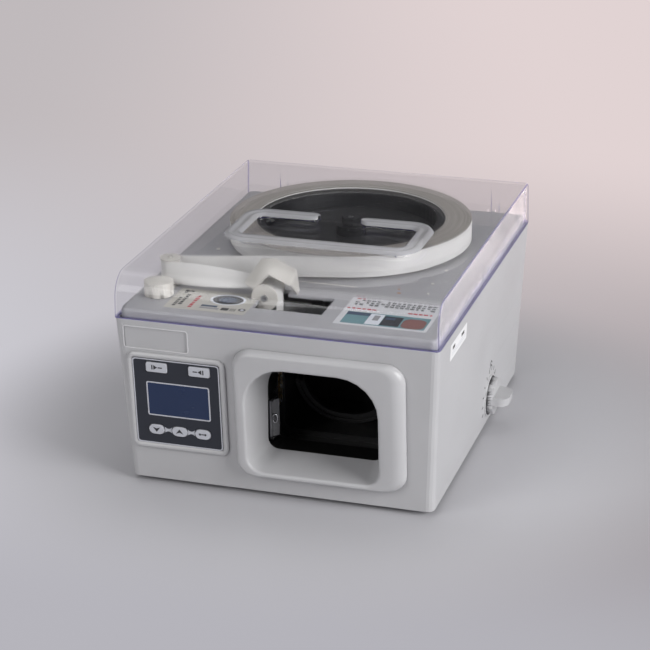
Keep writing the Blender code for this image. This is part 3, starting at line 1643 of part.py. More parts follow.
def key_outlines():
    """Two upper keys and a row of three oval ones, as outlines on the front face."""
    keys = {}
    for name, side in (("key_left", -1), ("key_right", 1)):
        x = PANEL_X + RECT_KEY_SHIFT + side * RECT_KEY_PITCH / 2
        z = PANEL_Z + RECT_KEY_RISE
        w, h = RECT_KEY_W / 2, RECT_KEY_H / 2
        keys[name] = rounded(x - w, x + w, z - h, z + h, [RECT_KEY_CORNER] * 4, steps=2)
    for name, side in (("key_down", -1), ("key_up", 0), ("key_clear", 1)):
        x = PANEL_X + OVAL_KEY_SHIFT + side * OVAL_KEY_PITCH
        z = PANEL_Z - OVAL_KEY_DROP
        w, h = OVAL_KEY_W / 2, OVAL_KEY_H / 2
        keys[name] = rounded(x - w, x + w, z - h, z + h, [h] * 4, steps=3)
    return keys


def display_board():
    """The display's glass sits in the casing's window, on its board behind the wall."""
    x, z = PANEL_X + LCD_SHIFT, PANEL_Z + LCD_RISE
    back = CASE_WALL + FIT
    made = block(
        "display_board",
        (x - LCD_BOARD_W / 2, back, z - LCD_BOARD_H / 2),
        (x + LCD_BOARD_W / 2, back + LCD_BOARD_T, z + LCD_BOARD_H / 2),
        front_face,
        board_green,
    )
    glass = block(
        "display_glass",
        (x - LCD_W / 2 + FIT, 0.0, z - LCD_H / 2 + FIT),
        (x + LCD_W / 2 - FIT, back + LCD_BOARD_T / 2, z + LCD_H / 2 - FIT),
        front_face,
    )
    add(made, glass)
    return made


knob_axis = joint("knob_axis", (0, KNOB_Y, KNOB_Z), right_face)


def knob():
    """A round knob with a wing grip, whose shaft turns a control fixed inside the wall."""
    low = DIAL_T + FIT
    high = low + KNOB_T
    inner = -CASE_WALL - FIT
    made = rod(
        "tension_knob", KNOB_R, (low, KNOB_Y, KNOB_Z), (high, KNOB_Y, KNOB_Z), knob_axis, shell_grey, 40
    )
    half = KNOB_WING_L / 2
    outline = rounded(
        high - KNOB_T / 2,
        high + KNOB_WING_H,
        KNOB_Y - half,
        KNOB_Y + half,
        [KNOB_T / 4, KNOB_WING_CORNER, KNOB_WING_CORNER, KNOB_T / 4],
    )
    wing = plate("knob_wing", [outline], KNOB_WING_T, knob_axis, location=(0, 0, KNOB_Z))
    round_edges(wing, KNOB_WING_EDGE)
    shaft = rod(
        "knob_shaft",
        KNOB_SHAFT_R,
        (inner - POT_T / 2, KNOB_Y, KNOB_Z),
        (low + KNOB_T / 2, KNOB_Y, KNOB_Z),
        knob_axis,
    )
    add(made, wing, shaft)
    half = POT_SIDE / 2
    pot = block(
        "tension_control",
        (inner - POT_T, KNOB_Y - half, KNOB_Z - half),
        (inner, KNOB_Y + half, KNOB_Z + half),
        right_face,
        black_plastic,
    )
    socket = rod(
        "control_socket",
        KNOB_SHAFT_R + FIT,
        (inner - POT_T / 2 - FIT, KNOB_Y, KNOB_Z),
        (inner + POT_T, KNOB_Y, KNOB_Z),
        right_face,
    )
    cut(pot, socket)


rocker_axis = joint("rocker_axis", (SWITCH_X, ROCKER_OUT - ROCKER_PIN_DEPTH, INLET_Z), back_face)


def power_inlet():
    """A flanged power socket with three blades, and the well of the rocker switch."""
    half_w, half_h = INLET_W / 2, INLET_H / 2
    outline = rounded(
        INLET_X - half_w, INLET_X + half_w, INLET_Z - half_h, INLET_Z + half_h, [INLET_FLANGE] * 4, steps=2
    )
    made = plate(
        "power_inlet",
        [outline],
        INLET_FLANGE,
        back_face,
        black_plastic,
        (0, FIT + INLET_FLANGE / 2, 0),
        UPRIGHT,
    )
    body = block(
        "inlet_body",
        (INLET_X - half_w + INLET_FLANGE, INLET_FLANGE - INLET_DEPTH, INLET_Z - half_h + INLET_FLANGE),
        (INLET_X + half_w - INLET_FLANGE, FIT + INLET_FLANGE / 2, INLET_Z + half_h - INLET_FLANGE),
        back_face,
    )
    add(made, body)
    socket = block(
        "inlet_socket",
        (SOCKET_X - SOCKET_W / 2, INLET_FLANGE - SOCKET_DEPTH, INLET_Z - SOCKET_H / 2),
        (SOCKET_X + SOCKET_W / 2, 3 * INLET_FLANGE, INLET_Z + SOCKET_H / 2),
        back_face,
    )
    well = block(
        "rocker_well",
        (SWITCH_X - ROCKER_W / 2 - FIT, -ROCKER_W, INLET_Z - ROCKER_H / 2 - 2 * FIT),
        (SWITCH_X + ROCKER_W / 2 + FIT, 3 * INLET_FLANGE, INLET_Z + ROCKER_H / 2 + 2 * FIT),
        back_face,
    )
    cut(made, socket, well)
    floor = INLET_FLANGE - SOCKET_DEPTH
    for name, across, up in (("earth", 0, 1), ("live", -1, -1), ("neutral", 1, -1)):
        x = SOCKET_X + across * BLADE_SPREAD
        z = INLET_Z + up * BLADE_OFFSET
        blade = block(
            f"blade_{name}",
            (x - BLADE_T / 2, floor - BLADE_T, z - BLADE_W / 2),
            (x + BLADE_T / 2, INLET_FLANGE - BLADE_SHORT, z + BLADE_W / 2),
            back_face,
        )
        add(made, blade)
    return made


def power_rocker():
    """A two-way rocker with a shallow V face, resting on one side of its well."""
    pin = rocker_axis.location
    half = ROCKER_H / 2 - ROCKER_CLEAR
    ear = ROCKER_PIN_DEPTH + ROCKER_EAR
    dip = ROCKER_PIN_DEPTH - ROCKER_DIP
    outline = [(-ROCKER_BODY, -half), (ear, -half), (dip, 0.0), (ear, half), (-ROCKER_BODY, half)]
    tilt = Matrix.Rotation(radians(ROCKER_TILT), 2)
    turned_outline = [tuple(tilt @ Vector(point)) for point in outline]
    shape = [(pin.y + y, pin.z + z) for y, z in turned_outline]
    return plate("power_rocker", [shape], ROCKER_W, rocker_axis, black_plastic, (SWITCH_X, 0, 0), ALONG_X)


def transformer():
    """A laminated core with its coil, standing on the base at the back left."""
    x, y, z = CORE_X, CORE_Y, BASE_TOP + FIT
    made = block(
        "transformer",
        (x - CORE_W / 2, y - CORE_L / 2, z),
        (x + CORE_W / 2, y + CORE_L / 2, z + CORE_H),
        machine,
        zinc_steel,
    )
    coil = block(
        "transformer_coil",
        (x - COIL_W / 2, y - COIL_L / 2, z + CORE_H / 2 - COIL_H / 2),
        (x + COIL_W / 2, y + COIL_L / 2, z + CORE_H / 2 + COIL_H / 2),
        machine,
        edge=COIL_EDGE,
    )
    add(made, coil)
    return made


def control_board():
    """The main board on four standoffs, with its larger components."""
    x, y, foot = BOARD_X, BOARD_Y, BASE_TOP + FIT
    z = foot + STANDOFF_H
    made = block(
        "control_board",
        (x - BOARD_W / 2, y - BOARD_L / 2, z),
        (x + BOARD_W / 2, y + BOARD_L / 2, z + BOARD_T),
        machine,
        board_green,
    )
    inset = 3 * STANDOFF_R
    for side in (-1, 1):
        for end in (-1, 1):
            px = x + side * (BOARD_W / 2 - inset)
            py = y + end * (BOARD_L / 2 - inset)
            name = f"standoff_{'l' if side < 0 else 'r'}{'f' if end < 0 else 'b'}"
            add(made, rod(name, STANDOFF_R, (px, py, foot), (px, py, z + BOARD_T / 2), machine, sides=8))
    chips = (
        ("chip", 0.0, 0.0, CHIP_SIDE, CHIP_H),
        ("relay", BOARD_W / 2 - inset - RELAY_SIDE, BOARD_L / 2 - inset - RELAY_SIDE, RELAY_SIDE, RELAY_H),
        ("plug", PLUG_INSET - BOARD_W / 2, PLUG_INSET - BOARD_L / 2, PLUG_SIDE, PLUG_H),
    )
    for name, dx, dy, side, tall in chips:
        low = (x + dx - side / 2, y + dy - side / 2, z + BOARD_T / 2)
        high = (x + dx + side / 2, y + dy + side / 2, z + BOARD_T + tall)
        add(made, block(f"board_{name}", low, high, machine))
    return made


def centre_on_floor():
    """Moves the whole machine so that the middle of its box stands over the origin."""
    bpy.context.view_layer.update()
    graph = bpy.context.evaluated_depsgraph_get()
    corners = []
    for made in parts.objects:
        if made.type == "MESH":
            shape = made.evaluated_get(graph)
            corners += [shape.matrix_world @ vert.co for vert in shape.data.vertices]
    for axis in (0, 1):
        values = [corner[axis] for corner in corners]
        machine.location[axis] -= (min(values) + max(values)) / 2
    bpy.context.view_layer.update()


casing()
base_plate()
feet()
base_screws()
frame_channel()
throat_liner()
tape_track()
throat_bezel()
deck()
lid()
hinges()
reel()
guide_post()
turn_drum()
tape_hood()
tape_run()
feed_frame()
feed_drive()
pinch()
seal_block()
seal_bars()
cam_shaft()
cam_drive()
start_flap()
panel()
display_board()
knob()
power_inlet()
power_rocker()
transformer()
control_board()
centre_on_floor()
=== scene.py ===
import random
from math import acos, atan2, cos, hypot, pi, radians, sin, tau

import bmesh
import bpy
from mathutils import Matrix, Vector


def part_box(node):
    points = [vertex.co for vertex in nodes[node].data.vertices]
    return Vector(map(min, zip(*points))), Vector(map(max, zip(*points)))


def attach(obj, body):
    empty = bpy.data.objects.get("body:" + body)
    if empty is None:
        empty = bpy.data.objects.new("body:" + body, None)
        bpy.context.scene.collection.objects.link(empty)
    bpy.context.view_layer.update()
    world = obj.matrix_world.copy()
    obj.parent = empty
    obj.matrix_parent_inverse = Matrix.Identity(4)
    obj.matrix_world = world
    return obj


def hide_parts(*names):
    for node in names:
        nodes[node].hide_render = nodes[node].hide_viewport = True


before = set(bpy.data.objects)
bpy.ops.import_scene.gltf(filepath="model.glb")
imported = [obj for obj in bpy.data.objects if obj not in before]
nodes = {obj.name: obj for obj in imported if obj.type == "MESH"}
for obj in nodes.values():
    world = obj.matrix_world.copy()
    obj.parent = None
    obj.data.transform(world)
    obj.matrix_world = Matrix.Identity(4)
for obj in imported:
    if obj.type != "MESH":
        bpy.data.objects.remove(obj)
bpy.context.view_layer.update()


# node helpers, small enough to read in one go


def feed(tree, target, value):
    if isinstance(value, bpy.types.NodeSocket):
        tree.links.new(value, target)
    else:
        target.default_value = value


def calc(tree, job, *values, clamp=False):
    node = tree.nodes.new("ShaderNodeMath")
    node.operation = job
    node.use_clamp = clamp
    for socket, value in zip(node.inputs, values):
        feed(tree, socket, value)
    return node.outputs[0]


def mixTone(tree, share, first, second):
    node = tree.nodes.new("ShaderNodeMix")
    node.data_type = "RGBA"
    for socket, value in ((0, share), (6, first), (7, second)):
        feed(tree, node.inputs[socket], value)
    return node.outputs[2]


def easeRange(tree, value, low, high):
    node = tree.nodes.new("ShaderNodeMapRange")
    node.interpolation_type = "SMOOTHSTEP"
    feed(tree, node.inputs["Value"], value)
    node.inputs["From Min"].default_value = low
    node.inputs["From Max"].default_value = high
    return node.outputs["Result"]


def coordinates(tree, kind="Object"):
    return tree.nodes.new("ShaderNodeTexCoord").outputs[kind]


def stretched(tree, vector, scale=(1, 1, 1), turn=(0, 0, 0), shift=(0, 0, 0)):
    node = tree.nodes.new("ShaderNodeMapping")
    feed(tree, node.inputs["Vector"], vector)
    node.inputs["Scale"].default_value = scale
    node.inputs["Rotation"].default_value = turn
    node.inputs["Location"].default_value = shift
    return node.outputs[0]


def noise(tree, vector, scale, detail=2.0, rough=0.5):
    node = tree.nodes.new("ShaderNodeTexNoise")
    feed(tree, node.inputs["Vector"], vector)
    feed(tree, node.inputs["Scale"], scale)
    node.inputs["Detail"].default_value = detail
    node.inputs["Roughness"].default_value = rough
    return node.outputs[0]


def axisOf(tree, vector, axis):
    node = tree.nodes.new("ShaderNodeSeparateXYZ")
    feed(tree, node.inputs[0], vector)
    return node.outputs[axis]


def lengthOf(tree, vector):
    node = tree.nodes.new("ShaderNodeVectorMath")
    node.operation = "LENGTH"
    feed(tree, node.inputs[0], vector)
    return node.outputs["Value"]


def ringNoise(tree, reach, scale, detail=2.0):
    node = tree.nodes.new("ShaderNodeTexNoise")
    node.noise_dimensions = "1D"
    feed(tree, node.inputs["W"], reach)
    node.inputs["Scale"].default_value = scale
    node.inputs["Detail"].default_value = detail
    return node.outputs[0]


def blendShaders(tree, share, first, second):
    node = tree.nodes.new("ShaderNodeMixShader")
    feed(tree, node.inputs[0], share)
    tree.links.new(first.outputs[0], node.inputs[1])
    tree.links.new(second.outputs[0], node.inputs[2])
    return node


def rgba(tone, gain=1.0):
    return (*[min(c * gain, 1.0) for c in tone], 1.0)


def newGroup(name, inputs, outputs):
    tree = bpy.data.node_groups.new(name, "ShaderNodeTree")
    number = "NodeSocketFloat"
    for label, start in inputs:
        tree.interface.new_socket(label, in_out="INPUT", socket_type=number).default_value = start
    for label in outputs:
        tree.interface.new_socket(label, in_out="OUTPUT", socket_type=number)
    return tree, tree.nodes.new("NodeGroupInput").outputs, tree.nodes.new("NodeGroupOutput").inputs


def placeGroup(tree, group, **values):
    node = tree.nodes.new("ShaderNodeGroup")
    node.node_tree = group
    for label, value in values.items():
        feed(tree, node.inputs[label], value)
    return node.outputs


# effects that several finishes share


def makeMouldGrain():
    tree, given, out = newGroup("mouldGrain", [("Scale", 2500.0)], ["Height", "Mottle"])
    place = coordinates(tree)
    fine = noise(tree, place, given["Scale"], 3.0)
    broad = noise(tree, place, calc(tree, "MULTIPLY", given["Scale"], 0.006), 3.0)
    feed(tree, out["Height"], fine)
    feed(tree, out["Mottle"], easeRange(tree, broad, 0.3, 0.7))
    return tree


def makeRestingDust():
    tree, given, out = newGroup("restingDust", [("Amount", 0.1), ("Scale", 70.0)], ["Mask"])
    up = easeRange(tree, axisOf(tree, coordinates(tree, "Normal"), 2), 0.7, 1.0)
    specks = easeRange(tree, noise(tree, coordinates(tree), given["Scale"], 8.0, 0.7), 0.42, 0.72)
    feed(tree, out["Mask"], calc(tree, "MULTIPLY", calc(tree, "MULTIPLY", up, specks), given["Amount"]))
    return tree


def makeHandlingMarks():
    tree, given, out = newGroup("handlingMarks", [("Scale", 90.0), ("Amount", 0.2)], ["Mask"])
    place = coordinates(tree)
    first = noise(tree, stretched(tree, place, (1, 0.03, 1), (0.3, 0.1, 0.7)), given["Scale"], 4.0)
    second = noise(tree, stretched(tree, place, (0.04, 1, 1), (0.2, 0.5, 2.0)), given["Scale"], 4.0)
    both = calc(tree, "MAXIMUM", easeRange(tree, first, 0.6, 0.68), easeRange(tree, second, 0.61, 0.69))
    feed(tree, out["Mask"], calc(tree, "MULTIPLY", both, given["Amount"]))
    return tree


def makePaperFibre():
    tree, given, out = newGroup("paperFibre", [("Scale", 1400.0)], ["Height", "Mottle"])
    place = coordinates(tree)
    fibre = noise(tree, stretched(tree, place, (1, 0.35, 1), (0.2, 0.4, 0.5)), given["Scale"], 6.0, 0.65)
    cloud = noise(tree, place, calc(tree, "MULTIPLY", given["Scale"], 0.04), 4.0)
    feed(tree, out["Height"], fibre)
    feed(tree, out["Mottle"], cloud)
    return tree


def makeBrushLines():
    labels = [("Along", 6.0), ("Across", 1500.0)]
    tree, given, out = newGroup("brushLines", labels, ["Lines", "Stain"])
    place = coordinates(tree)
    scale = tree.nodes.new("ShaderNodeCombineXYZ")
    feed(tree, scale.inputs[0], given["Along"])
    feed(tree, scale.inputs[1], given["Across"])
    feed(tree, scale.inputs[2], given["Across"])
    pulled = tree.nodes.new("ShaderNodeVectorMath")
    pulled.operation = "MULTIPLY"
    feed(tree, pulled.inputs[0], place)
    feed(tree, pulled.inputs[1], scale.outputs[0])
    feed(tree, out["Lines"], noise(tree, pulled.outputs[0], 1.0, 3.0))
    feed(tree, out["Stain"], easeRange(tree, noise(tree, place, 90.0, 5.0), 0.35, 0.7))
    return tree


mouldGrain = makeMouldGrain()
restingDust = makeRestingDust()
handlingMarks = makeHandlingMarks()
paperFibre = makePaperFibre()
brushLines = makeBrushLines()


# finishes


def freshFinish(name):
    made = bpy.data.materials.new(name)
    made.use_nodes = True
    tree = made.node_tree
    tree.nodes.clear()
    skin = tree.nodes.new("ShaderNodeBsdfPrincipled")
    tree.links.new(skin.outputs[0], tree.nodes.new("ShaderNodeOutputMaterial").inputs[0])
    return made, tree, skin


def raiseBump(tree, skin, height, distance, strength=0.6):
    bump = tree.nodes.new("ShaderNodeBump")
    bump.inputs["Strength"].default_value = strength
    bump.inputs["Distance"].default_value = distance
    feed(tree, bump.inputs["Height"], height)
    tree.links.new(bump.outputs[0], skin.inputs["Normal"])


dustTone = (0.52, 0.5, 0.47, 1.0)


def mouldedPlastic(name, tone, grain=2400.0, bump=0.00003, rough=0.42, drift=0.03, dust=0.1, marks=0.1):
    made, tree, skin = freshFinish(name)
    texture = placeGroup(tree, mouldGrain, Scale=grain)
    scuffs = placeGroup(tree, handlingMarks, Scale=110.0, Amount=marks)
    film = placeGroup(tree, restingDust, Amount=dust, Scale=80.0)
    colour = mixTone(tree, texture["Mottle"], rgba(tone, 1 - drift), rgba(tone, 1 + drift))
    feed(tree, skin.inputs["Base Color"], mixTone(tree, film["Mask"], colour, dustTone))
    sheen = calc(tree, "MULTIPLY_ADD", texture["Mottle"], 0.08, rough - 0.04)
    sheen = calc(tree, "ADD", sheen, calc(tree, "MULTIPLY", scuffs["Mask"], 0.3))
    feed(tree, skin.inputs["Roughness"], calc(tree, "ADD", sheen, film["Mask"], clamp=True))
    raiseBump(tree, skin, texture["Height"], bump)
    return made


def platedSteel(name, tone, rough, along=8.0, across=1300.0, stain=0.12):
    made, tree, skin = freshFinish(name)
    lines = placeGroup(tree, brushLines, Along=along, Across=across)
    scuffs = placeGroup(tree, handlingMarks, Scale=140.0, Amount=0.5)
    colour = mixTone(tree, lines["Stain"], rgba(tone, 1 - stain), rgba(tone, 1 + stain / 3))
    feed(tree, skin.inputs["Base Color"], mixTone(tree, scuffs["Mask"], colour, rgba(tone, 1.25)))
    skin.inputs["Metallic"].default_value = 1.0
    grit = calc(tree, "MULTIPLY_ADD", lines["Lines"], 0.16, rough - 0.08)
    rubbed = calc(tree, "MULTIPLY", scuffs["Mask"], 0.1)
    feed(tree, skin.inputs["Roughness"], calc(tree, "ADD", grit, rubbed))
    raiseBump(tree, skin, lines["Lines"], 0.00001, 0.5)
    return made


def softRubber():
    made, tree, skin = freshFinish("blackRubber")
    texture = placeGroup(tree, mouldGrain, Scale=1800.0)
    film = placeGroup(tree, restingDust, Amount=0.35, Scale=150.0)
    colour = mixTone(tree, texture["Mottle"], (0.014, 0.014, 0.015, 1), (0.03, 0.03, 0.03, 1))
    feed(tree, skin.inputs["Base Color"], mixTone(tree, film["Mask"], colour, dustTone))
    feed(tree, skin.inputs["Roughness"], calc(tree, "MULTIPLY_ADD", texture["Mottle"], 0.15, 0.75))
    raiseBump(tree, skin, texture["Height"], 0.00008)
    return made


# the clear lid: polished, violet where the cut rim pipes the light
lidLook = dict(
    clear=(0.975, 0.978, 0.985),
    rim=(0.6, 0.58, 0.78),
    # edge: the dark violet painted where the wall is seen edge-on
    edge=(0.2, 0.185, 0.38),
    veil=(0.984, 0.984, 0.99),
    shadow=(0.94, 0.945, 0.96),
    thin=0.85,
    gloss=0.1,
    leastGloss=0.012,
    rimLow=0.1638,
    rimHigh=0.1658,
    ior=1.03,
)


def clearLid():
    s = lidLook
    made, tree, skin = freshFinish("clearLidPlastic")
    rim = easeRange(tree, axisOf(tree, coordinates(tree), 2), s["rimHigh"], s["rimLow"])
    feed(tree, skin.inputs["Base Color"], mixTone(tree, rim, rgba(s["clear"]), rgba(s["rim"])))
    wipes = placeGroup(tree, handlingMarks, Scale=60.0, Amount=0.04)
    feed(tree, skin.inputs["Roughness"], calc(tree, "ADD", wipes["Mask"], 0.005))
    skin.inputs["Transmission Weight"].default_value = 1.0
    skin.inputs["IOR"].default_value = s["ior"]
    facing = tree.nodes.new("ShaderNodeLayerWeight").outputs["Facing"]
    path = tree.nodes.new("ShaderNodeLightPath").outputs
    # most of what lies behind shows unbent, as through a thin moulding
    veil = tree.nodes.new("ShaderNodeBsdfTransparent")
    feed(tree, veil.inputs[0], mixTone(tree, rim, rgba(s["veil"]), rgba(s["rim"])))
    body = blendShaders(tree, s["thin"], skin, veil)
    shine = tree.nodes.new("ShaderNodeBsdfGlossy")
    shine.inputs["Color"].default_value = rgba(s["veil"])
    feed(tree, shine.inputs["Roughness"], calc(tree, "ADD", wipes["Mask"], 0.02))
    grazing = easeRange(tree, facing, 0.3, 1.0)
    mirror = calc(tree, "MULTIPLY_ADD", grazing, s["gloss"], s["leastGloss"])
    body = blendShaders(tree, mirror, body, shine)
    # seen through its length, the wall is painted a milky dark violet: a painted line for the light bent and
    # piped at its silhouette
    paintedEdgeLine = tree.nodes.new("ShaderNodeBsdfDiffuse")
    paintedEdgeLine.inputs["Color"].default_value = rgba(s["edge"])
    body = blendShaders(tree, calc(tree, "MULTIPLY", easeRange(tree, facing, 0.8, 0.95), 0.8), body, paintedEdgeLine)
    through = tree.nodes.new("ShaderNodeBsdfTransparent")
    through.inputs[0].default_value = rgba(s["shadow"])
    body = blendShaders(tree, path["Is Shadow Ray"], body, through)
    tree.links.new(body.outputs[0], tree.nodes["Material Output"].inputs[0])
    return made


# the ridge on the lid is the same plastic with a finely frosted crown; its pale grey tone on the upward
# faces is a painted sheen
beadLook = dict(tone=(0.47, 0.47, 0.49), rough=0.14, clear=0.35, ior=1.3)


def frostedSheenBead():
    made, tree, skin = freshFinish("frostedSheenBead")
    texture = placeGroup(tree, mouldGrain, Scale=3000.0)
    tone = beadLook["tone"]
    colour = mixTone(tree, texture["Mottle"], rgba(tone, 0.94), rgba(tone, 1.04))
    feed(tree, skin.inputs["Base Color"], colour)
    frost = calc(tree, "MULTIPLY_ADD", texture["Mottle"], 0.08, beadLook["rough"])
    feed(tree, skin.inputs["Roughness"], frost)
    skin.inputs["Transmission Weight"].default_value = beadLook["clear"]
    skin.inputs["IOR"].default_value = beadLook["ior"]
    raiseBump(tree, skin, texture["Height"], 0.00002)
    return made


# rounded edges of the lid are painted violet: a painted glow of the light that the thick plastic pipes along
# its walls
pipedGlowLook = dict(tone=(0.4, 0.38, 0.6), clear=0.7, rough=0.05, ior=1.04)


def pipedEdgeGlow():
    made, tree, skin = freshFinish("lidEdgePlastic")
    wipes = placeGroup(tree, handlingMarks, Scale=60.0, Amount=0.04)
    tone = pipedGlowLook["tone"]
    feed(tree, skin.inputs["Base Color"], mixTone(tree, wipes["Mask"], rgba(tone), rgba(tone, 1.2)))
    feed(tree, skin.inputs["Roughness"], calc(tree, "ADD", wipes["Mask"], pipedGlowLook["rough"]))
    skin.inputs["Transmission Weight"].default_value = pipedGlowLook["clear"]
    skin.inputs["IOR"].default_value = pipedGlowLook["ior"]
    return made


# edge is the end faces' tone, darkened as painted shade, under the fine rings and bands of the wound paper
paperLook = dict(face=(0.65, 0.637, 0.615), edge=(0.31, 0.287, 0.262), rings=2600.0, bands=330.0)


def stripPaper(name, spindle=None):
    made, tree, skin = freshFinish(name)
    fibre = placeGroup(tree, paperFibre, Scale=1500.0)
    face = paperLook["face"]
    colour = mixTone(tree, fibre["Mottle"], rgba(face, 0.95), rgba(face, 1.03))
    height = fibre["Height"]
    if spindle:
        # the wound edges show as fine rings about the spindle; the level end faces are painted darker than
        # the wall, a painted shade on the roll's top
        away = stretched(tree, coordinates(tree), (1, 1, 0), shift=(-spindle.x, -spindle.y, 0))
        reach = lengthOf(tree, away)
        ring = easeRange(tree, ringNoise(tree, reach, paperLook["rings"], 4.0), 0.3, 0.7)
        band = easeRange(tree, ringNoise(tree, reach, paperLook["bands"]), 0.35, 0.62)
        tone = paperLook["edge"]
        edge = mixTone(tree, ring, rgba(tone, 0.85), rgba(tone, 1.1))
        edge = mixTone(tree, calc(tree, "MULTIPLY", band, 0.35), edge, rgba(tone, 0.68))
        upright = calc(tree, "ABSOLUTE", axisOf(tree, coordinates(tree, "Normal"), 2))
        level = easeRange(tree, upright, 0.4, 0.7)
        colour = mixTone(tree, level, colour, edge)
        height = calc(tree, "ADD", height, calc(tree, "MULTIPLY", ring, level))
    feed(tree, skin.inputs["Base Color"], colour)
    feed(tree, skin.inputs["Roughness"], calc(tree, "MULTIPLY_ADD", fibre["Mottle"], 0.12, 0.74))
    raiseBump(tree, skin, height, 0.00004)
    return made


# the throat's grey mouth turns black where its dark sleeve begins
throatLook = dict(tone=(0.49, 0.488, 0.5), dark=(0.004, 0.004, 0.004), start=-0.1413)


def throatPlastic():
    made, tree, skin = freshFinish("throatPlastic")
    texture = placeGroup(tree, mouldGrain, Scale=2400.0)
    scuffs = placeGroup(tree, handlingMarks, Scale=110.0, Amount=0.12)
    tone, start = throatLook["tone"], throatLook["start"]
    colour = mixTone(tree, texture["Mottle"], rgba(tone, 0.97), rgba(tone, 1.03))
    deep = easeRange(tree, axisOf(tree, coordinates(tree), 1), start - 0.0002, start + 0.0002)
    feed(tree, skin.inputs["Base Color"], mixTone(tree, deep, colour, rgba(throatLook["dark"])))
    sheen = calc(tree, "MULTIPLY_ADD", texture["Mottle"], 0.08, 0.32)
    rubbed = calc(tree, "MULTIPLY", scuffs["Mask"], 0.3)
    feed(tree, skin.inputs["Roughness"], calc(tree, "ADD", sheen, rubbed))
    raiseBump(tree, skin, texture["Height"], 0.00003)
    return made


def printedInk(name, tone, rough=0.45):
    made, tree, skin = freshFinish(name)
    fibre = placeGroup(tree, paperFibre, Scale=2200.0)
    colour = mixTone(tree, fibre["Mottle"], rgba(tone, 0.9), rgba(tone, 1.08))
    feed(tree, skin.inputs["Base Color"], colour)
    feed(tree, skin.inputs["Roughness"], calc(tree, "MULTIPLY_ADD", fibre["Height"], 0.12, rough - 0.06))
    raiseBump(tree, skin, fibre["Height"], 0.00001, 0.4)
    return made


displayLook = dict(low=(0.012, 0.026, 0.075), high=(0.016, 0.03, 0.08), dot=(0.05, 0.075, 0.16), dots=2200.0)


def displayGlass():
    s = displayLook
    made, tree, skin = freshFinish("displayGlass")
    place = coordinates(tree)
    cloud = easeRange(tree, noise(tree, place, 26.0, 3.0), 0.3, 0.7)
    colour = mixTone(tree, cloud, rgba(s["low"]), rgba(s["high"]))
    # dot rows of the panel under the glass
    cells = tree.nodes.new("ShaderNodeTexChecker")
    cells.inputs["Scale"].default_value = s["dots"]
    feed(tree, cells.inputs["Vector"], stretched(tree, place, (1, 0, 1)))
    colour = mixTone(tree, calc(tree, "MULTIPLY", cells.outputs["Fac"], 0.12), colour, rgba(s["dot"]))
    feed(tree, skin.inputs["Base Color"], colour)
    wipes = placeGroup(tree, handlingMarks, Scale=80.0, Amount=0.12)
    feed(tree, skin.inputs["Roughness"], calc(tree, "ADD", wipes["Mask"], 0.16))
    skin.inputs["Specular IOR Level"].default_value = 0.35
    return made


# boards and the transformer are one node each, so their parts are told apart by place
def stackedFinish(name, axis, layers):
    made, tree, skin = freshFinish(name)
    texture = placeGroup(tree, mouldGrain, Scale=2600.0)
    level = axisOf(tree, coordinates(tree), axis)
    colour = rgba(layers[0][1])
    for edge, tone in layers[1:]:
        colour = mixTone(tree, easeRange(tree, level, edge - 0.0001, edge + 0.0001), colour, rgba(tone))
    shade = mixTone(tree, texture["Mottle"], (0.82, 0.82, 0.82, 1), (1, 1, 1, 1))
    product = tree.nodes.new("ShaderNodeMix")
    product.data_type = "RGBA"
    product.blend_type = "MULTIPLY"
    product.inputs[0].default_value = 1.0
    feed(tree, product.inputs[6], colour)
    feed(tree, product.inputs[7], shade)
    feed(tree, skin.inputs["Base Color"], product.outputs[2])
    feed(tree, skin.inputs["Roughness"], calc(tree, "MULTIPLY_ADD", texture["Mottle"], 0.2, 0.38))
    raiseBump(tree, skin, texture["Height"], 0.00004)
    return made


# heights where board, solder and chips part, and how far the laminated core reaches
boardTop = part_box("control_board")[0].z + 0.0116
coreLow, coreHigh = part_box("transformer")
coreMiddle = (coreLow + coreHigh) / 2
coreHalf = 0.0226
boardLayers = [
    (0, (0.62, 0.5, 0.22)),
    (boardTop - 0.0016, (0.02, 0.14, 0.06)),
    (boardTop + 0.0002, (0.02, 0.02, 0.022)),
]
coilLayers = [
    (0, (0.6, 0.33, 0.08)),
    (coreMiddle.y - coreHalf, (0.1, 0.098, 0.094)),
    (coreMiddle.y + coreHalf, (0.6, 0.33, 0.08)),
]

finishes = {
    "shell_grey": mouldedPlastic("shellPlastic", (0.49, 0.488, 0.5), rough=0.36),
    "deck_grey": mouldedPlastic("deckPlastic", (0.34, 0.336, 0.348), rough=0.38, dust=0.12),
    "clear_lid": clearLid(),
    "black_plastic": mouldedPlastic("blackPlastic", (0.013, 0.013, 0.0135), rough=0.34, dust=0.05),
    "white_plastic": mouldedPlastic("nylonWhite", (0.6, 0.575, 0.53), grain=1500.0, rough=0.38, marks=0.2),
    "slate_film": mouldedPlastic("slateFilm", (0.016, 0.019, 0.029), 4200.0, 0.00001, 0.42),
    "lcd_glass": displayGlass(),
    "key_grey": mouldedPlastic("keyFilm", (0.54, 0.55, 0.6), 4200.0, 0.00001, 0.4),
    "paper": stripPaper("tapePaper"),
    "rubber": softRubber(),
    "bright_steel": platedSteel("groundSteel", (0.62, 0.62, 0.64), 0.24),
    "zinc_steel": platedSteel("zincSheet", (0.5, 0.5, 0.51), 0.38, along=60.0, across=500.0, stain=0.2),
    "cast_alloy": platedSteel("castAlloy", (0.42, 0.43, 0.44), 0.55, along=400.0, across=420.0),
    "brass": platedSteel("turnedBrass", (0.7, 0.5, 0.2), 0.28),
    "board_green": stackedFinish("solderedBoard", 2, boardLayers),
    "core_steel": mouldedPlastic("varnishedCore", (0.06, 0.058, 0.055), grain=900.0, rough=0.5),
}
woundCoil = stackedFinish("woundCoil", 1, coilLayers)
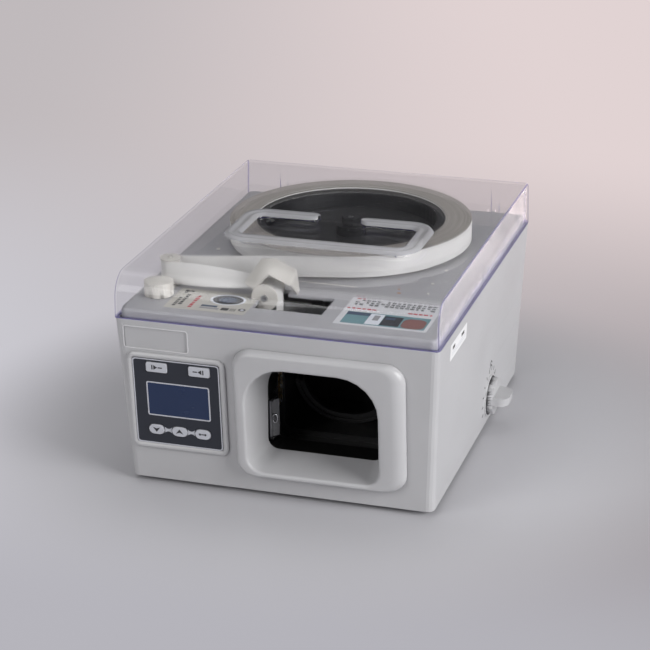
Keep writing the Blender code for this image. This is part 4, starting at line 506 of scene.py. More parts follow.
displayBoard = mouldedPlastic("displayBoard", (0.02, 0.13, 0.06), grain=1800.0, rough=0.45)
reelBlack = mouldedPlastic("reelBlack", (0.006, 0.006, 0.0075), rough=0.5, dust=0.02)
flapSteel = platedSteel("flapSteel", (0.2, 0.2, 0.21), 0.32)
# a lighter plastic that paints the highlight on the badge recess edges
highlightRimPlastic = mouldedPlastic("highlightRimPlastic", (0.66, 0.655, 0.67), rough=0.3, dust=0.05)
ownFinish = {
    "transformer": woundCoil,
    "display_board": displayBoard,
    "reel_hub": reelBlack,
    "reel_nut": reelBlack,
    "start_flap": flapSteel,
}
nodeSlot = {}

for name, node in nodes.items():
    nodeSlot[name] = node.data.materials[0].name.split(".")[0]
    node.data.materials[0] = ownFinish.get(name) or finishes[nodeSlot[name]]
print("finishes:", len(finishes), "slots dressed on the frame")

# black ink for print, also used for the painted shadow line round the knob
inkAndShadowBlack = printedInk("inkAndShadowBlack", (0.022, 0.022, 0.026))
inkRed = printedInk("inkRed", (0.42, 0.045, 0.06))
inkBlue = printedInk("inkBlue", (0.05, 0.07, 0.115))
inkTeal = printedInk("inkTeal", (0.13, 0.24, 0.26))
inkBrown = printedInk("inkBrown", (0.19, 0.085, 0.075))
inkPale = printedInk("inkPale", (0.6, 0.62, 0.66))
inkGrey = printedInk("inkGrey", (0.25, 0.25, 0.26))
creamStock = printedInk("creamStock", (0.42, 0.405, 0.365), 0.38)
whiteStock = printedInk("whiteStock", (0.56, 0.56, 0.57), 0.38)
stickerStock = printedInk("stickerStock", (0.86, 0.86, 0.87), 0.34)
orangeSpot = printedInk("orangeSpot", (0.45, 0.18, 0.06))


# mesh helpers


def spotOn(origin, right, up):
    origin, right, up = Vector(origin), Vector(right).normalized(), Vector(up).normalized()
    out = right.cross(up)
    return lambda u, v, w: origin + right * u + up * v + out * w


def slab(shape, spot, outline, low, high, paint=0):
    bottom = [shape.verts.new(spot(u, v, low)) for u, v in outline]
    top = [shape.verts.new(spot(u, v, high)) for u, v in outline]
    made = [shape.faces.new(top), shape.faces.new(bottom[::-1])]
    for i in range(len(outline)):
        j = (i + 1) % len(outline)
        made.append(shape.faces.new((bottom[i], bottom[j], top[j], top[i])))
    for face in made:
        face.material_index = paint


def hoop(shape, spot, outer, inner, low, high, paint=0):
    rings = [
        [shape.verts.new(spot(u, v, w)) for u, v in outline]
        for outline, w in ((outer, low), (outer, high), (inner, high), (inner, low))
    ]
    count = len(outer)
    for near, far in zip(rings, rings[1:] + rings[:1]):
        for i in range(count):
            j = (i + 1) % count
            face = shape.faces.new((near[i], near[j], far[j], far[i]))
            face.material_index = paint


def tube(shape, points, radius, sides=10, paint=0):
    rings = []
    for i, point in enumerate(points):
        ahead = points[min(i + 1, len(points) - 1)] - points[max(i - 1, 0)]
        turn = ahead.to_track_quat("Z", "Y")
        ring = [turn @ Vector((u, v, 0)) for u, v in oval(0, 0, radius, radius, sides)]
        rings.append([shape.verts.new(point + offset) for offset in ring])
    for near, far in zip(rings, rings[1:]):
        for i in range(sides):
            j = (i + 1) % sides
            shape.faces.new((near[i], near[j], far[j], far[i])).material_index = paint
    for cap in (rings[0][::-1], rings[-1]):
        shape.faces.new(cap).material_index = paint


def roundRect(x0, x1, y0, y1, radius, steps=5):
    corners = ((x0, y0, 180), (x1, y0, 270), (x1, y1, 0), (x0, y1, 90))
    points = []
    for x, y, start in corners:
        cx = x + radius if x == x0 else x - radius
        cy = y + radius if y == y0 else y - radius
        for k in range(steps + 1):
            turn = radians(start + 90 * k / steps)
            points.append((cx + radius * cos(turn), cy + radius * sin(turn)))
    return points


def oval(x, y, halfW, halfH, steps=28):
    turns = [tau * k / steps for k in range(steps)]
    return [(x + halfW * cos(t), y + halfH * sin(t)) for t in turns]


def bar(x, y, width, height):
    return [
        (x - width / 2, y - height / 2),
        (x + width / 2, y - height / 2),
        (x + width / 2, y + height / 2),
        (x - width / 2, y + height / 2),
    ]


def smoothUpTo(mesh, angle):
    mesh.shade_smooth()
    mesh.set_sharp_from_angle(angle=radians(angle))


def dressPiece(name, mesh, body, paints=(), smooth=None):
    for paint in paints:
        mesh.materials.append(paint)
    if smooth is not None:
        smoothUpTo(mesh, smooth)
    piece = bpy.data.objects.new(name, mesh)
    bpy.context.scene.collection.objects.link(piece)
    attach(piece, body)
    return piece


def meshFrom(name, shape, outward=True):
    if outward:
        bmesh.ops.recalc_face_normals(shape, faces=shape.faces)
    mesh = bpy.data.meshes.new(name)
    shape.to_mesh(mesh)
    shape.free()
    return mesh


# a seed carries modifiers only until its result is baked
def newSeed(name, mesh):
    seed = bpy.data.objects.new(name, mesh)
    bpy.context.scene.collection.objects.link(seed)
    return seed


def bakeSeed(seed):
    graph = bpy.context.evaluated_depsgraph_get()
    made = bpy.data.meshes.new_from_object(seed.evaluated_get(graph))
    bpy.data.objects.remove(seed, do_unlink=True)
    return made


# copies of moulded nodes with their curves shaded smooth, in place of the bare facets
def evenNormals(mesh):
    seed = newSeed("skinSeed", mesh)
    seed.modifiers.new("weigh", "WEIGHTED_NORMAL").keep_sharp = True
    return bakeSeed(seed)


def smoothSkin(name, node, body, paints, angle=35, choose=None):
    shape = bmesh.new()
    shape.from_mesh(nodes[node].data)
    bmesh.ops.remove_doubles(shape, verts=shape.verts, dist=0.000002)
    for face in shape.faces:
        face.material_index = choose(face) if choose else 0
    mesh = meshFrom(name, shape, False)
    for paint in paints:
        mesh.materials.append(paint)
    smoothUpTo(mesh, angle)
    piece = dressPiece(name, evenNormals(mesh), body)
    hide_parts(node)


lidLow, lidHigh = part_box("lid")
zoneSpec = dict(crown=0.2081, upward=0.25, turned=0.3, margin=0.012)


def lidZone(face):
    s = zoneSpec
    middle = face.calc_center_median()
    if middle.z > s["crown"]:
        # upward faces of the ridge take the pale grey of the painted sheen
        return 1 if face.normal.z > s["upward"] else 0
    x, y, z = (abs(part) for part in face.normal)
    outside = min(middle.x - lidLow.x, lidHigh.x - middle.x) < s["margin"]
    # the rounded outer edge faces take the painted violet glow
    return 2 if outside and x > s["turned"] and max(y, z) > s["turned"] else 0


smoothSkin("lidShell", "lid", "lid", [finishes["clear_lid"], frostedSheenBead(), pipedEdgeGlow()], 40, lidZone)
smoothSkin("throatShell", "throat_bezel", "chassis", [throatPlastic()], 40)
for name, node, body in (
    ("panelFrame", "panel_bezel", "chassis"),
    ("casingShell", "casing", "chassis"),
    ("drumBody", "turn_drum", "chassis"),
    ("postBracket", "roller_bracket", "chassis"),
    ("postRoller", "guide_roller", "guide_roller"),
    ("knobGrip", "tension_knob", "tension_knob"),
    ("deckTray", "deck", "chassis"),
):
    smoothSkin(name, node, body, [ownFinish.get(node) or finishes[nodeSlot[node]]], 32)


# the hood over the drum: one sheet folded along three lines, with its foot on the deck
hoodSpec = dict(
    corners=[
        (-0.0479, -0.0920, 0.2000),
        (-0.0340, -0.0925, 0.2010),
        (-0.0149, -0.0920, 0.1919),
        (-0.0118, -0.1225, 0.1880),
        (-0.0312, -0.1225, 0.1961),
        (-0.0553, -0.1225, 0.1862),
        (-0.0463, -0.1225, 0.1807),
        (-0.0115, -0.1150, 0.1840),
        (-0.0115, -0.1010, 0.1720),
        (-0.0120, -0.0920, 0.1720),
    ],
    panels=[(0, 5, 6, 4), (0, 4, 1), (1, 4, 3, 2), (2, 3, 7, 8, 9)],
    thick=0.0012,
    bevel=0.0004,
)


def hoodSheet():
    s = hoodSpec
    mesh = bpy.data.meshes.new("hoodPanels")
    mesh.from_pydata(s["corners"], [], s["panels"])
    seed = newSeed("hoodSeed", mesh)
    wall = seed.modifiers.new("wall", "SOLIDIFY")
    wall.thickness = s["thick"]
    wall.offset = -1.0
    soft = seed.modifiers.new("soft", "BEVEL")
    soft.width = s["bevel"]
    soft.segments = 2
    slot = nodeSlot["tape_hood"]
    piece = dressPiece("hoodSheet", bakeSeed(seed), "chassis", [finishes[slot]], smooth=30)
    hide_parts("tape_hood")


hoodSheet()
print("skins: moulded pieces smoothed, hood folded")


# geometry node helpers


def newGrowth(name, inputs):
    tree = bpy.data.node_groups.new(name, "GeometryNodeTree")
    tree.interface.new_socket("Geometry", in_out="INPUT", socket_type="NodeSocketGeometry")
    tree.interface.new_socket("Geometry", in_out="OUTPUT", socket_type="NodeSocketGeometry")
    for label, kind, start in inputs:
        socket = tree.interface.new_socket(label, in_out="INPUT", socket_type="NodeSocket" + kind)
        if start is not None:
            socket.default_value = start
    return tree, tree.nodes.new("NodeGroupInput").outputs, tree.nodes.new("NodeGroupOutput").inputs


def closeGrowth(tree, instances, paint, out):
    solid = tree.nodes.new("GeometryNodeRealizeInstances")
    tree.links.new(instances, solid.inputs[0])
    painted = tree.nodes.new("GeometryNodeSetMaterial")
    tree.links.new(solid.outputs[0], painted.inputs["Geometry"])
    tree.links.new(paint, painted.inputs["Material"])
    tree.links.new(painted.outputs[0], out["Geometry"])


def grown(name, tree, values, seedMesh=None):
    seed = newSeed(name + "Seed", seedMesh or bpy.data.meshes.new(name + "Seed"))
    growth = seed.modifiers.new("growth", "NODES")
    growth.node_group = tree
    for item in tree.interface.items_tree:
        if item.in_out == "INPUT" and item.name in values:
            growth[item.identifier] = values[item.name]
    return bakeSeed(seed)


def makePrintRows():
    inputs = [
        ("Columns", "Int", 8),
        ("Rows", "Int", 3),
        ("Pitch", "Float", 0.004),
        ("Lead", "Float", 0.004),
        ("Length", "Float", 0.003),
        ("Stroke", "Float", 0.0012),
        ("Height", "Float", 0.0001),
        ("Seed", "Int", 1),
        ("Ink", "Material", None),
    ]
    tree, given, out = newGrowth("printRows", inputs)
    grid = tree.nodes.new("GeometryNodeMeshGrid")
    for axis, gap, count in (("X", "Pitch", "Columns"), ("Y", "Lead", "Rows")):
        span = calc(tree, "MULTIPLY", given[gap], calc(tree, "SUBTRACT", given[count], 1))
        feed(tree, grid.inputs["Size " + axis], span)
        feed(tree, grid.inputs["Vertices " + axis], given[count])
    mark = tree.nodes.new("GeometryNodeMeshCube")
    size = tree.nodes.new("ShaderNodeCombineXYZ")
    for index, label in enumerate(("Length", "Stroke", "Height")):
        feed(tree, size.inputs[index], given[label])
    feed(tree, mark.inputs["Size"], size.outputs[0])
    keep = tree.nodes.new("FunctionNodeRandomValue")
    keep.data_type = "BOOLEAN"
    keep.inputs["Probability"].default_value = 0.9
    feed(tree, keep.inputs["Seed"], given["Seed"])
    wide = tree.nodes.new("FunctionNodeRandomValue")
    wide.data_type = "FLOAT_VECTOR"
    wide.inputs[0].default_value = (0.55, 0.8, 1.0)
    wide.inputs[1].default_value = (1.1, 1.15, 1.0)
    feed(tree, wide.inputs["Seed"], given["Seed"])
    spread = tree.nodes.new("GeometryNodeInstanceOnPoints")
    tree.links.new(grid.outputs["Mesh"], spread.inputs["Points"])
    tree.links.new(mark.outputs["Mesh"], spread.inputs["Instance"])
    tree.links.new(keep.outputs[3], spread.inputs["Selection"])
    tree.links.new(wide.outputs[0], spread.inputs["Scale"])
    closeGrowth(tree, spread.outputs[0], given["Ink"], out)
    return tree


def makeDialTicks():
    inputs = [
        ("Count", "Int", 11),
        ("Radius", "Float", 0.027),
        ("Length", "Float", 0.003),
        ("Stroke", "Float", 0.0006),
        ("Height", "Float", 0.0001),
        ("First", "Float", 0.0),
        ("Last", "Float", 1.0),
        ("Ink", "Material", None),
    ]
    tree, given, out = newGrowth("dialTicks", inputs)
    dots = tree.nodes.new("GeometryNodePoints")
    feed(tree, dots.inputs["Count"], given["Count"])
    index = tree.nodes.new("GeometryNodeInputIndex").outputs[0]
    step = calc(tree, "DIVIDE", index, calc(tree, "SUBTRACT", given["Count"], 1))
    sweep = calc(tree, "SUBTRACT", given["Last"], given["First"])
    turn = calc(tree, "MULTIPLY_ADD", step, sweep, given["First"])
    where = tree.nodes.new("ShaderNodeCombineXYZ")
    for axis, job in enumerate(("COSINE", "SINE")):
        feed(tree, where.inputs[axis], calc(tree, "MULTIPLY", calc(tree, job, turn), given["Radius"]))
    feed(tree, dots.inputs["Position"], where.outputs[0])
    tick = tree.nodes.new("GeometryNodeMeshCube")
    size = tree.nodes.new("ShaderNodeCombineXYZ")
    for place, label in enumerate(("Length", "Stroke", "Height")):
        feed(tree, size.inputs[place], given[label])
    feed(tree, tick.inputs["Size"], size.outputs[0])
    facing = tree.nodes.new("ShaderNodeCombineXYZ")
    feed(tree, facing.inputs[2], turn)
    spread = tree.nodes.new("GeometryNodeInstanceOnPoints")
    tree.links.new(dots.outputs[0], spread.inputs["Points"])
    tree.links.new(tick.outputs["Mesh"], spread.inputs["Instance"])
    tree.links.new(facing.outputs[0], spread.inputs["Rotation"])
    closeGrowth(tree, spread.outputs[0], given["Ink"], out)
    return tree


def makeScrewRows():
    inputs = [("Head", "Object", None), ("Paint", "Material", None)]
    tree, given, out = newGrowth("screwRows", inputs)
    dots = tree.nodes.new("GeometryNodeMeshToPoints")
    tree.links.new(given["Geometry"], dots.inputs["Mesh"])
    head = tree.nodes.new("GeometryNodeObjectInfo")
    feed(tree, head.inputs["Object"], given["Head"])
    facing = tree.nodes.new("GeometryNodeInputNamedAttribute")
    facing.data_type = "FLOAT_VECTOR"
    facing.inputs["Name"].default_value = "facing"
    aim = tree.nodes.new("FunctionNodeAlignRotationToVector")
    aim.axis = "Z"
    tree.links.new(facing.outputs["Attribute"], aim.inputs["Vector"])
    size = tree.nodes.new("GeometryNodeInputNamedAttribute")
    size.data_type = "FLOAT"
    size.inputs["Name"].default_value = "size"
    spread = tree.nodes.new("GeometryNodeInstanceOnPoints")
    tree.links.new(dots.outputs[0], spread.inputs["Points"])
    tree.links.new(head.outputs["Geometry"], spread.inputs["Instance"])
    tree.links.new(aim.outputs[0], spread.inputs["Rotation"])
    tree.links.new(size.outputs["Attribute"], spread.inputs["Scale"])
    closeGrowth(tree, spread.outputs[0], given["Paint"], out)
    return tree


printRows = makePrintRows()
dialTicks = makeDialTicks()
screwRows = makeScrewRows()


# the paper roll

rollLow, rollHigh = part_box("tape_roll")
rollMiddle = (rollLow + rollHigh) / 2
rollSpec = dict(
    bore=0.0915,
    rings=36,
    wander=0.00016,
    wave=0.0001,
    steps=192,
    seed=11,
    inset=0.0003,
    edge=0.0004,
)
woundPaper = stripPaper("woundPaper", rollMiddle)


def paperRoll():
    draw = random.Random(rollSpec["seed"])
    outer = (rollHigh.x - rollLow.x) / 2
    bore, inset, edge = (rollSpec[key] for key in ("bore", "inset", "edge"))
    low, high = rollLow.z, rollHigh.z
    profile = [(outer - inset, low), (outer, low + edge)]
    for k in range(1, 8):
        profile.append((outer - draw.uniform(0, 0.00012), low + (high - low) * k / 8))
    profile += [(outer, high - edge)]
    for k in range(rollSpec["rings"] + 1):
        r = outer - inset - (outer - bore - 2 * inset) * k / rollSpec["rings"]
        profile.append((r, high - draw.uniform(0, rollSpec["wander"])))
    profile += [(bore, high - edge), (bore, low + edge), (bore + inset, low)]
    phase = [draw.uniform(0, tau) for _ in profile]
    shape = bmesh.new()
    steps = rollSpec["steps"]
    rings = []
    for k in range(steps):
        turn = tau * k / steps
        ring = []
        for (r, z), start in zip(profile, phase):
            drop = rollSpec["wave"] * (0.5 + 0.5 * sin(2 * turn + start)) if z > high - inset else 0.0
            x, y = rollMiddle.x + r * cos(turn), rollMiddle.y + r * sin(turn)
            ring.append(shape.verts.new((x, y, z - drop)))
        rings.append(ring)
    for near, far in zip(rings, rings[1:] + rings[:1]):
        for i in range(len(profile)):
            j = (i + 1) % len(profile)
            shape.faces.new((near[i], far[i], far[j], near[j]))
    mesh = meshFrom("paperRoll", shape)
    piece = dressPiece("paperRoll", mesh, "reel", [woundPaper], smooth=50)
    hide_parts("tape_roll")


def ribbon(shape, stations, width, thick, across=4):
    rings = []
    shares = [k / across - 0.5 for k in range(across + 1)]
    for middle, wide, through in stations:
        near = [middle + wide * (width * share) - through * thick / 2 for share in shares]
        far = [middle + wide * (width * share) + through * thick / 2 for share in shares[::-1]]
        rings.append([shape.verts.new(point) for point in near + far])
    count = len(rings[0])
    for first, second in zip(rings, rings[1:]):
        for i in range(count):
            j = (i + 1) % count
            shape.faces.new((first[i], first[j], second[j], second[i]))
    shape.faces.new(rings[0])
    shape.faces.new(rings[-1][::-1])


# the tape from the roll round the post, twisting flat, over the drum and down into the loop
runSpec = dict(
    width=0.020,
    thick=0.0003,
    rollR=0.1175,
    wrap=radians(40),
    post=(-0.13202, -0.10535),
    postR=0.0085,
    drum=(-0.03502, -0.11135, 0.1745),
    drumR=0.0100,
    foot=0.127,
    sway=0.0007,
)


def tapeRun():
    upward = Vector((0, 0, 1))
    z = (rollLow.z + rollHigh.z) / 2
    roll = Vector((rollMiddle.x, rollMiddle.y, z))
    post = Vector((*runSpec["post"], z))
    apart = roll - post
    lean = atan2(apart.y, apart.x) + acos((runSpec["rollR"] + runSpec["postR"]) / hypot(apart.x, apart.y))
    stations = []
    for k in range(25):
        turn = lean + pi + runSpec["wrap"] * (1 - k / 24)
        out = Vector((cos(turn), sin(turn), 0))
        stations.append((roll + out * runSpec["rollR"], upward, out))
    # the crossing from roll to post bows a little, as slack paper does
    leave = stations[-1][0]
    out = Vector((cos(lean), sin(lean), 0))
    reach = post + out * runSpec["postR"]
    for k in range(1, 12):
        share = k / 12
        bow = out * runSpec["sway"] * sin(pi * share)
        stations.append((leave.lerp(reach, share) + bow, upward, -out))
    for k in range(19):
        turn = lean + (1.5 * pi - lean) * k / 18
        out = Vector((cos(turn), sin(turn), 0))
        stations.append((post + out * runSpec["postR"], upward, -out))
    begin = stations[-1][0]
    drum = Vector(runSpec["drum"])
    end = drum + upward * runSpec["drumR"]
    for k in range(1, 25):
        share = k / 24
        twist = pi / 2 * share
        wide = Vector((0, sin(twist), cos(twist)))
        through = Vector((0, cos(twist), -sin(twist)))
        bow = through * runSpec["sway"] * sin(pi * share)
        stations.append((begin.lerp(end, share) + bow, wide, through))
    sideways = Vector((0, 1, 0))
    for k in range(1, 13):
        turn = pi / 2 * (1 - k / 12)
        out = Vector((cos(turn), 0, sin(turn)))
        stations.append((drum + out * runSpec["drumR"], sideways, -out))
    x, inward = drum.x + runSpec["drumR"], Vector((-1, 0, 0))
    for k in range(1, 7):
        z = drum.z + (runSpec["foot"] - drum.z) * k / 6
        stations.append((Vector((x, drum.y, z)), sideways, inward))
    shape = bmesh.new()
    ribbon(shape, stations, runSpec["width"], runSpec["thick"], across=6)
    mesh = meshFrom("tapeRun", shape)
    piece = dressPiece("tapeRun", mesh, "chassis", [finishes["paper"]], smooth=50)
    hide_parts("tape_run")


paperRoll()
tapeRun()
print("paper: roll and run made")


# printed labels on the deck

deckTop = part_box("deck")[1].z
deckSpot = spotOn((0, 0, deckTop), (1, 0, 0), (0, 1, 0))
sheetT = 0.00012
inkT = 0.00005
paperFoot = 0.00001
inkFoot = sheetT - 0.00002
rowKeys = ("Columns", "Rows", "Pitch", "Lead", "Length", "Stroke", "Seed")


def layPicture(shape, marks):
    for outline, drop, paint in marks:
        slab(shape, deckSpot, outline, inkFoot, sheetT + inkT - drop, paint)


def layRows(shape, rows, turn):
    moved = Matrix.Rotation(turn, 4, "Z")
    for place, values, paint in rows:
        mesh = grown("rows", printRows, dict(zip(rowKeys, values), Height=inkT * 2, Ink=inkAndShadowBlack))
        verts = []
        for vert in mesh.vertices:
            flat = (moved @ vert.co).xy + Vector(place)
            verts.append(shape.verts.new(deckSpot(*flat, sheetT + vert.co.z)))
        for face in mesh.polygons:
            shape.faces.new([verts[i] for i in face.vertices]).material_index = paint
        bpy.data.meshes.remove(mesh)


# a plain picture of the tape path: roll, ring, post and loop
threadSpec = dict(
    outline=[
        (-0.1172, -0.1653),
        (-0.0412, -0.1653),
        (-0.0412, -0.1272),
        (-0.0498, -0.1272),
        (-0.0498, -0.1146),
        (-0.1172, -0.1146),
    ],
    picture=[
        (oval(-0.0665, -0.1335, 0.0165, 0.0130), 0.00003, 3),
        (oval(-0.0665, -0.1335, 0.0142, 0.0110), 0.00001, 1),
        (oval(-0.0665, -0.1335, 0.0085, 0.0066), 0, 4),
        (bar(-0.0780, -0.1520, 0.0150, 0.0042), 0, 4),
        (bar(-0.0765, -0.1572, 0.0180, 0.0034), 0.00002, 5),
        (bar(-0.0620, -0.1560, 0.0070, 0.0062), 0, 1),
        (bar(-0.0565, -0.1560, 0.0007, 0.0068), 0, 1),
        (bar(-0.0545, -0.1560, 0.0007, 0.0068), 0, 1),
        (bar(-0.0525, -0.1560, 0.0007, 0.0068), 0, 1),
        (oval(-0.0465, -0.1540, 0.0034, 0.0030), 0.00001, 1),
        (oval(-0.0465, -0.1540, 0.0018, 0.0016), 0, 3),
    ],
    rows=[
        ((-0.1075, -0.1395), (9, 2, 0.0046, 0.0046, 0.0038, 0.0034, 3), 1),
        ((-0.0945, -0.1450), (6, 1, 0.0052, 0.004, 0.0042, 0.0034, 5), 2),
    ],
    paints=[creamStock, inkAndShadowBlack, inkRed, inkPale, inkBlue, inkGrey],
    turn=pi / 2,
)
noticeSpec = dict(
    outline=roundRect(0.0396, 0.1240, -0.1613, -0.0944, 0.0015),
    picture=[
        (bar(0.0830, -0.1432, 0.0760, 0.0285), 0.00004, 3),
        (bar(0.0560, -0.1335, 0.0215, 0.0070), 0.00003, 5),
        (bar(0.0730, -0.1430, 0.0130, 0.0250), 0.00003, 4),
        (bar(0.0735, -0.1395, 0.0055, 0.0120), 0.00001, 6),
        (bar(0.0885, -0.1440, 0.0170, 0.0220), 0.00003, 1),
        (bar(0.0860, -0.1380, 0.0090, 0.0050), 0.00001, 5),
        (roundRect(0.0985, 0.1195, -0.1568, -0.1340, 0.0070), 0.00002, 7),
    ],
    rows=[
        ((0.0818, -0.1055), (16, 3, 0.0047, 0.0050, 0.0039, 0.0033, 8), 1),
        ((0.0481, -0.0968), (2, 1, 0.0047, 0.005, 0.004, 0.003, 9), 2),
        ((0.0546, -0.1212), (6, 1, 0.0047, 0.005, 0.004, 0.003, 10), 2),
        ((0.1090, -0.1212), (5, 1, 0.0047, 0.005, 0.004, 0.003, 12), 2),
    ],
    paints=[whiteStock, inkAndShadowBlack, inkRed, inkTeal, inkPale, inkBlue, inkGrey, inkBrown],
    turn=0,
)


def deckLabel(name, s):
    shape = bmesh.new()
    slab(shape, deckSpot, s["outline"], paperFoot, sheetT, 0)
    layPicture(shape, s["picture"])
    layRows(shape, s["rows"], s["turn"])
    dressPiece(name, meshFrom(name, shape, False), "chassis", s["paints"])


# small marks that the deck carries: sprue spots, a pale line whose colour is a painted highlight of a step
# edge, and two tiny coloured dots
markSpec = dict(
    dots=[
        (-0.1220, -0.0054, 0.0019),
        (0.1029, -0.0040, 0.0015),
        (0.0995, -0.0422, 0.0014),
        (0.1019, -0.0685, 0.0012),
    ],
    line=((-0.0200, -0.0690), (0.0350, -0.0694), 0.0012),
    spots=[(0.0760, -0.0735, 0.0020), (0.0735, -0.0640, 0.0013)],
)


def deckMarks():
    shape = bmesh.new()
    for x, y, r in markSpec["dots"]:
        slab(shape, deckSpot, oval(x, y, r, r, 18), -0.0001, 0.0007, 0)
    # the line is a low rib in white plastic; its pale colour paints the highlight along the step edge
    (x0, y0), (x1, y1), stroke = markSpec["line"]
    half = stroke / 2
    line = [(x0, y0 - half), (x1, y1 - half), (x1, y1 + half), (x0, y0 + half)]
    slab(shape, deckSpot, line, 0, 0.0004, 0)
    for x, y, r in markSpec["spots"]:
        slab(shape, deckSpot, oval(x, y, r, r * 0.8, 16), 0, 0.0001, 1)
    paints = [finishes["white_plastic"], orangeSpot]
    dressPiece("deckMarks", meshFrom("deckMarks", shape), "chassis", paints)


deckLabel("threadLabel", threadSpec)
deckLabel("noticeLabel", noticeSpec)
deckMarks()
print("deck: labels and marks laid")


# print on the keypad film and its keys

frontOut = Vector((0, -0.99713, -0.07573))
frontUp = Vector((0, -0.07573, 0.99713))


def frontSpot(node, x, z):
    reach = max(frontOut.dot(v.co) for v in nodes[node].data.vertices)
    y = (reach - frontOut.z * z) / frontOut.y
    return spotOn((x, y, z), (1, 0, 0), frontUp)


filmSpec = dict(
    width=0.0825,
    height=0.0855,
    corner=0.0030,
    line=0.0011,
    lcdW=0.0602,
    lcdH=0.0342,
    lcdLine=0.0012,
    ink=(-0.00002, 0.00008),
)
ovalSpec = dict(halfW=0.0075, halfH=0.00475, neck=0.0013)
keyPlaces = {
    "key_left": (-0.11907, 0.11967),
    "key_right": (-0.07857, 0.11967),
    "key_down": (-0.12272, 0.05685),
    "key_up": (-0.10052, 0.05685),
    "key_clear": (-0.07832, 0.05685),
}


def neckOutline(x0, x1, y):
    points = []
    for side in (-1, 1):
        row = []
        for k in range(13):
            share = k / 12
            x = x0 + (x1 - x0) * share
            half = ovalSpec["neck"] + 0.0016 * abs(2 * share - 1) ** 2.2
            row.append((x, y + side * half))
        points += row if side < 0 else row[::-1]
    return points


def keypadPrint():
    s = filmSpec
    low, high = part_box("keypad_film")
    x, z = (low.x + high.x) / 2, (low.z + high.z) / 2
    spot = frontSpot("keypad_film", x, z)
    shape = bmesh.new()
    w, h = s["width"] / 2, s["height"] / 2
    outer = roundRect(-w, w, -h, h, s["corner"])
    inset = s["line"]
    inner = roundRect(-w + inset, w - inset, -h + inset, h - inset, s["corner"] - inset * 0.6)
    hoop(shape, spot, outer, inner, *s["ink"])
    lcdLow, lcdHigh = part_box("lcd_window")
    lx, lz = (lcdLow.x + lcdHigh.x) / 2 - x, ((lcdLow.z + lcdHigh.z) / 2 - z) / frontUp.z
    w, h, inset = s["lcdW"] / 2, s["lcdH"] / 2, s["lcdLine"]
    outer = roundRect(lx - w, lx + w, lz - h, lz + h, 0.002)
    inner = roundRect(lx - w + inset, lx + w - inset, lz - h + inset, lz + h - inset, 0.0010)
    hoop(shape, spot, outer, inner, *s["ink"])
    reach = ovalSpec["halfW"] + 0.0004
    for first, second in (("key_down", "key_up"), ("key_up", "key_clear")):
        x0 = keyPlaces[first][0] - x + reach
        x1 = keyPlaces[second][0] - x - reach
        level = (keyPlaces[first][1] - z) / frontUp.z
        slab(shape, spot, neckOutline(x0, x1, level), *s["ink"])
    dressPiece("keypadPrint", meshFrom("keypadPrint", shape), "chassis", [finishes["key_grey"]])


arrowDown = [(-0.0036, 0.0022), (0, 0.0008), (0.0036, 0.0022), (0, -0.0026)]
keyMarks = {
    "key_down": [arrowDown],
    "key_up": [[(-x, -y) for x, y in arrowDown]],
    "key_clear": [
        oval(-0.0026, 0, 0.0011, 0.0011, 16),
        oval(0.0026, 0, 0.0011, 0.0011, 16),
        bar(0, 0, 0.0026, 0.0010),
    ],
    "key_left": [
        bar(-0.0040, 0, 0.0011, 0.0044),
        [(-0.0026, -0.0023), (0.0010, 0), (-0.0026, 0.0023)],
        bar(0.0036, 0, 0.0042, 0.0011),
    ],
    "key_right": [
        bar(0.0040, 0, 0.0011, 0.0044),
        [(0.0026, -0.0023), (0.0026, 0.0023), (-0.0010, 0)],
        bar(-0.0036, 0, 0.0042, 0.0011),
    ],
}


def keyPrint():
    for name, (x, z) in keyPlaces.items():
        spot = frontSpot(name, x, z)
        shape = bmesh.new()
        for outline in keyMarks[name]:
            slab(shape, spot, outline, -0.00002, 0.00007)
        label = "mark" + "".join(word.title() for word in name.split("_"))
        dressPiece(label, meshFrom(label, shape), name, [inkAndShadowBlack])


# a fine raised rim round the bare badge recess, in a lighter plastic: a painted highlight along the recess
# edges
badgeSpec = dict(
    left=-0.14902,
    right=-0.08902,
    low=0.1364,
    high=0.1568,
    corner=0.002,
    width=0.0009,
    rise=0.0004,
)


def badgeRim():
    s = badgeSpec
    x, z = (s["left"] + s["right"]) / 2, (s["low"] + s["high"]) / 2
    w, h = (s["right"] - s["left"]) / 2, (s["high"] - s["low"]) / 2 / frontUp.z
    spot = frontSpot("casing", x, z)
    g = s["width"]
    outer = roundRect(-w - g, w + g, -h - g, h + g, s["corner"] + g)
    inner = roundRect(-w, w, -h, h, s["corner"])
    shape = bmesh.new()
    hoop(shape, spot, outer, inner, -0.0001, s["rise"])
    dressPiece("badgeRim", meshFrom("badgeRim", shape), "chassis", [highlightRimPlastic], smooth=30)


keypadPrint()
keyPrint()
badgeRim()
print("keypad: print laid on film and keys")


# right side: tick marks round the knob, and a blank sticker

sideOut = Vector((0.99902, 0, -0.04426))
sideUp = Vector((0.04426, 0, 0.99902))
knobAxis = Vector((0.13618, 0.04065, 0.03197))
sideSpot = spotOn(knobAxis, (0, 1, 0), sideUp)
dialSpec = dict(
    count=12,
    radius=0.0268,
    length=0.0042,
    stroke=0.0013,
    first=radians(-28),
    last=radians(208),
    ring=(0.0194, 0.0179),
    face=0.0015,
)


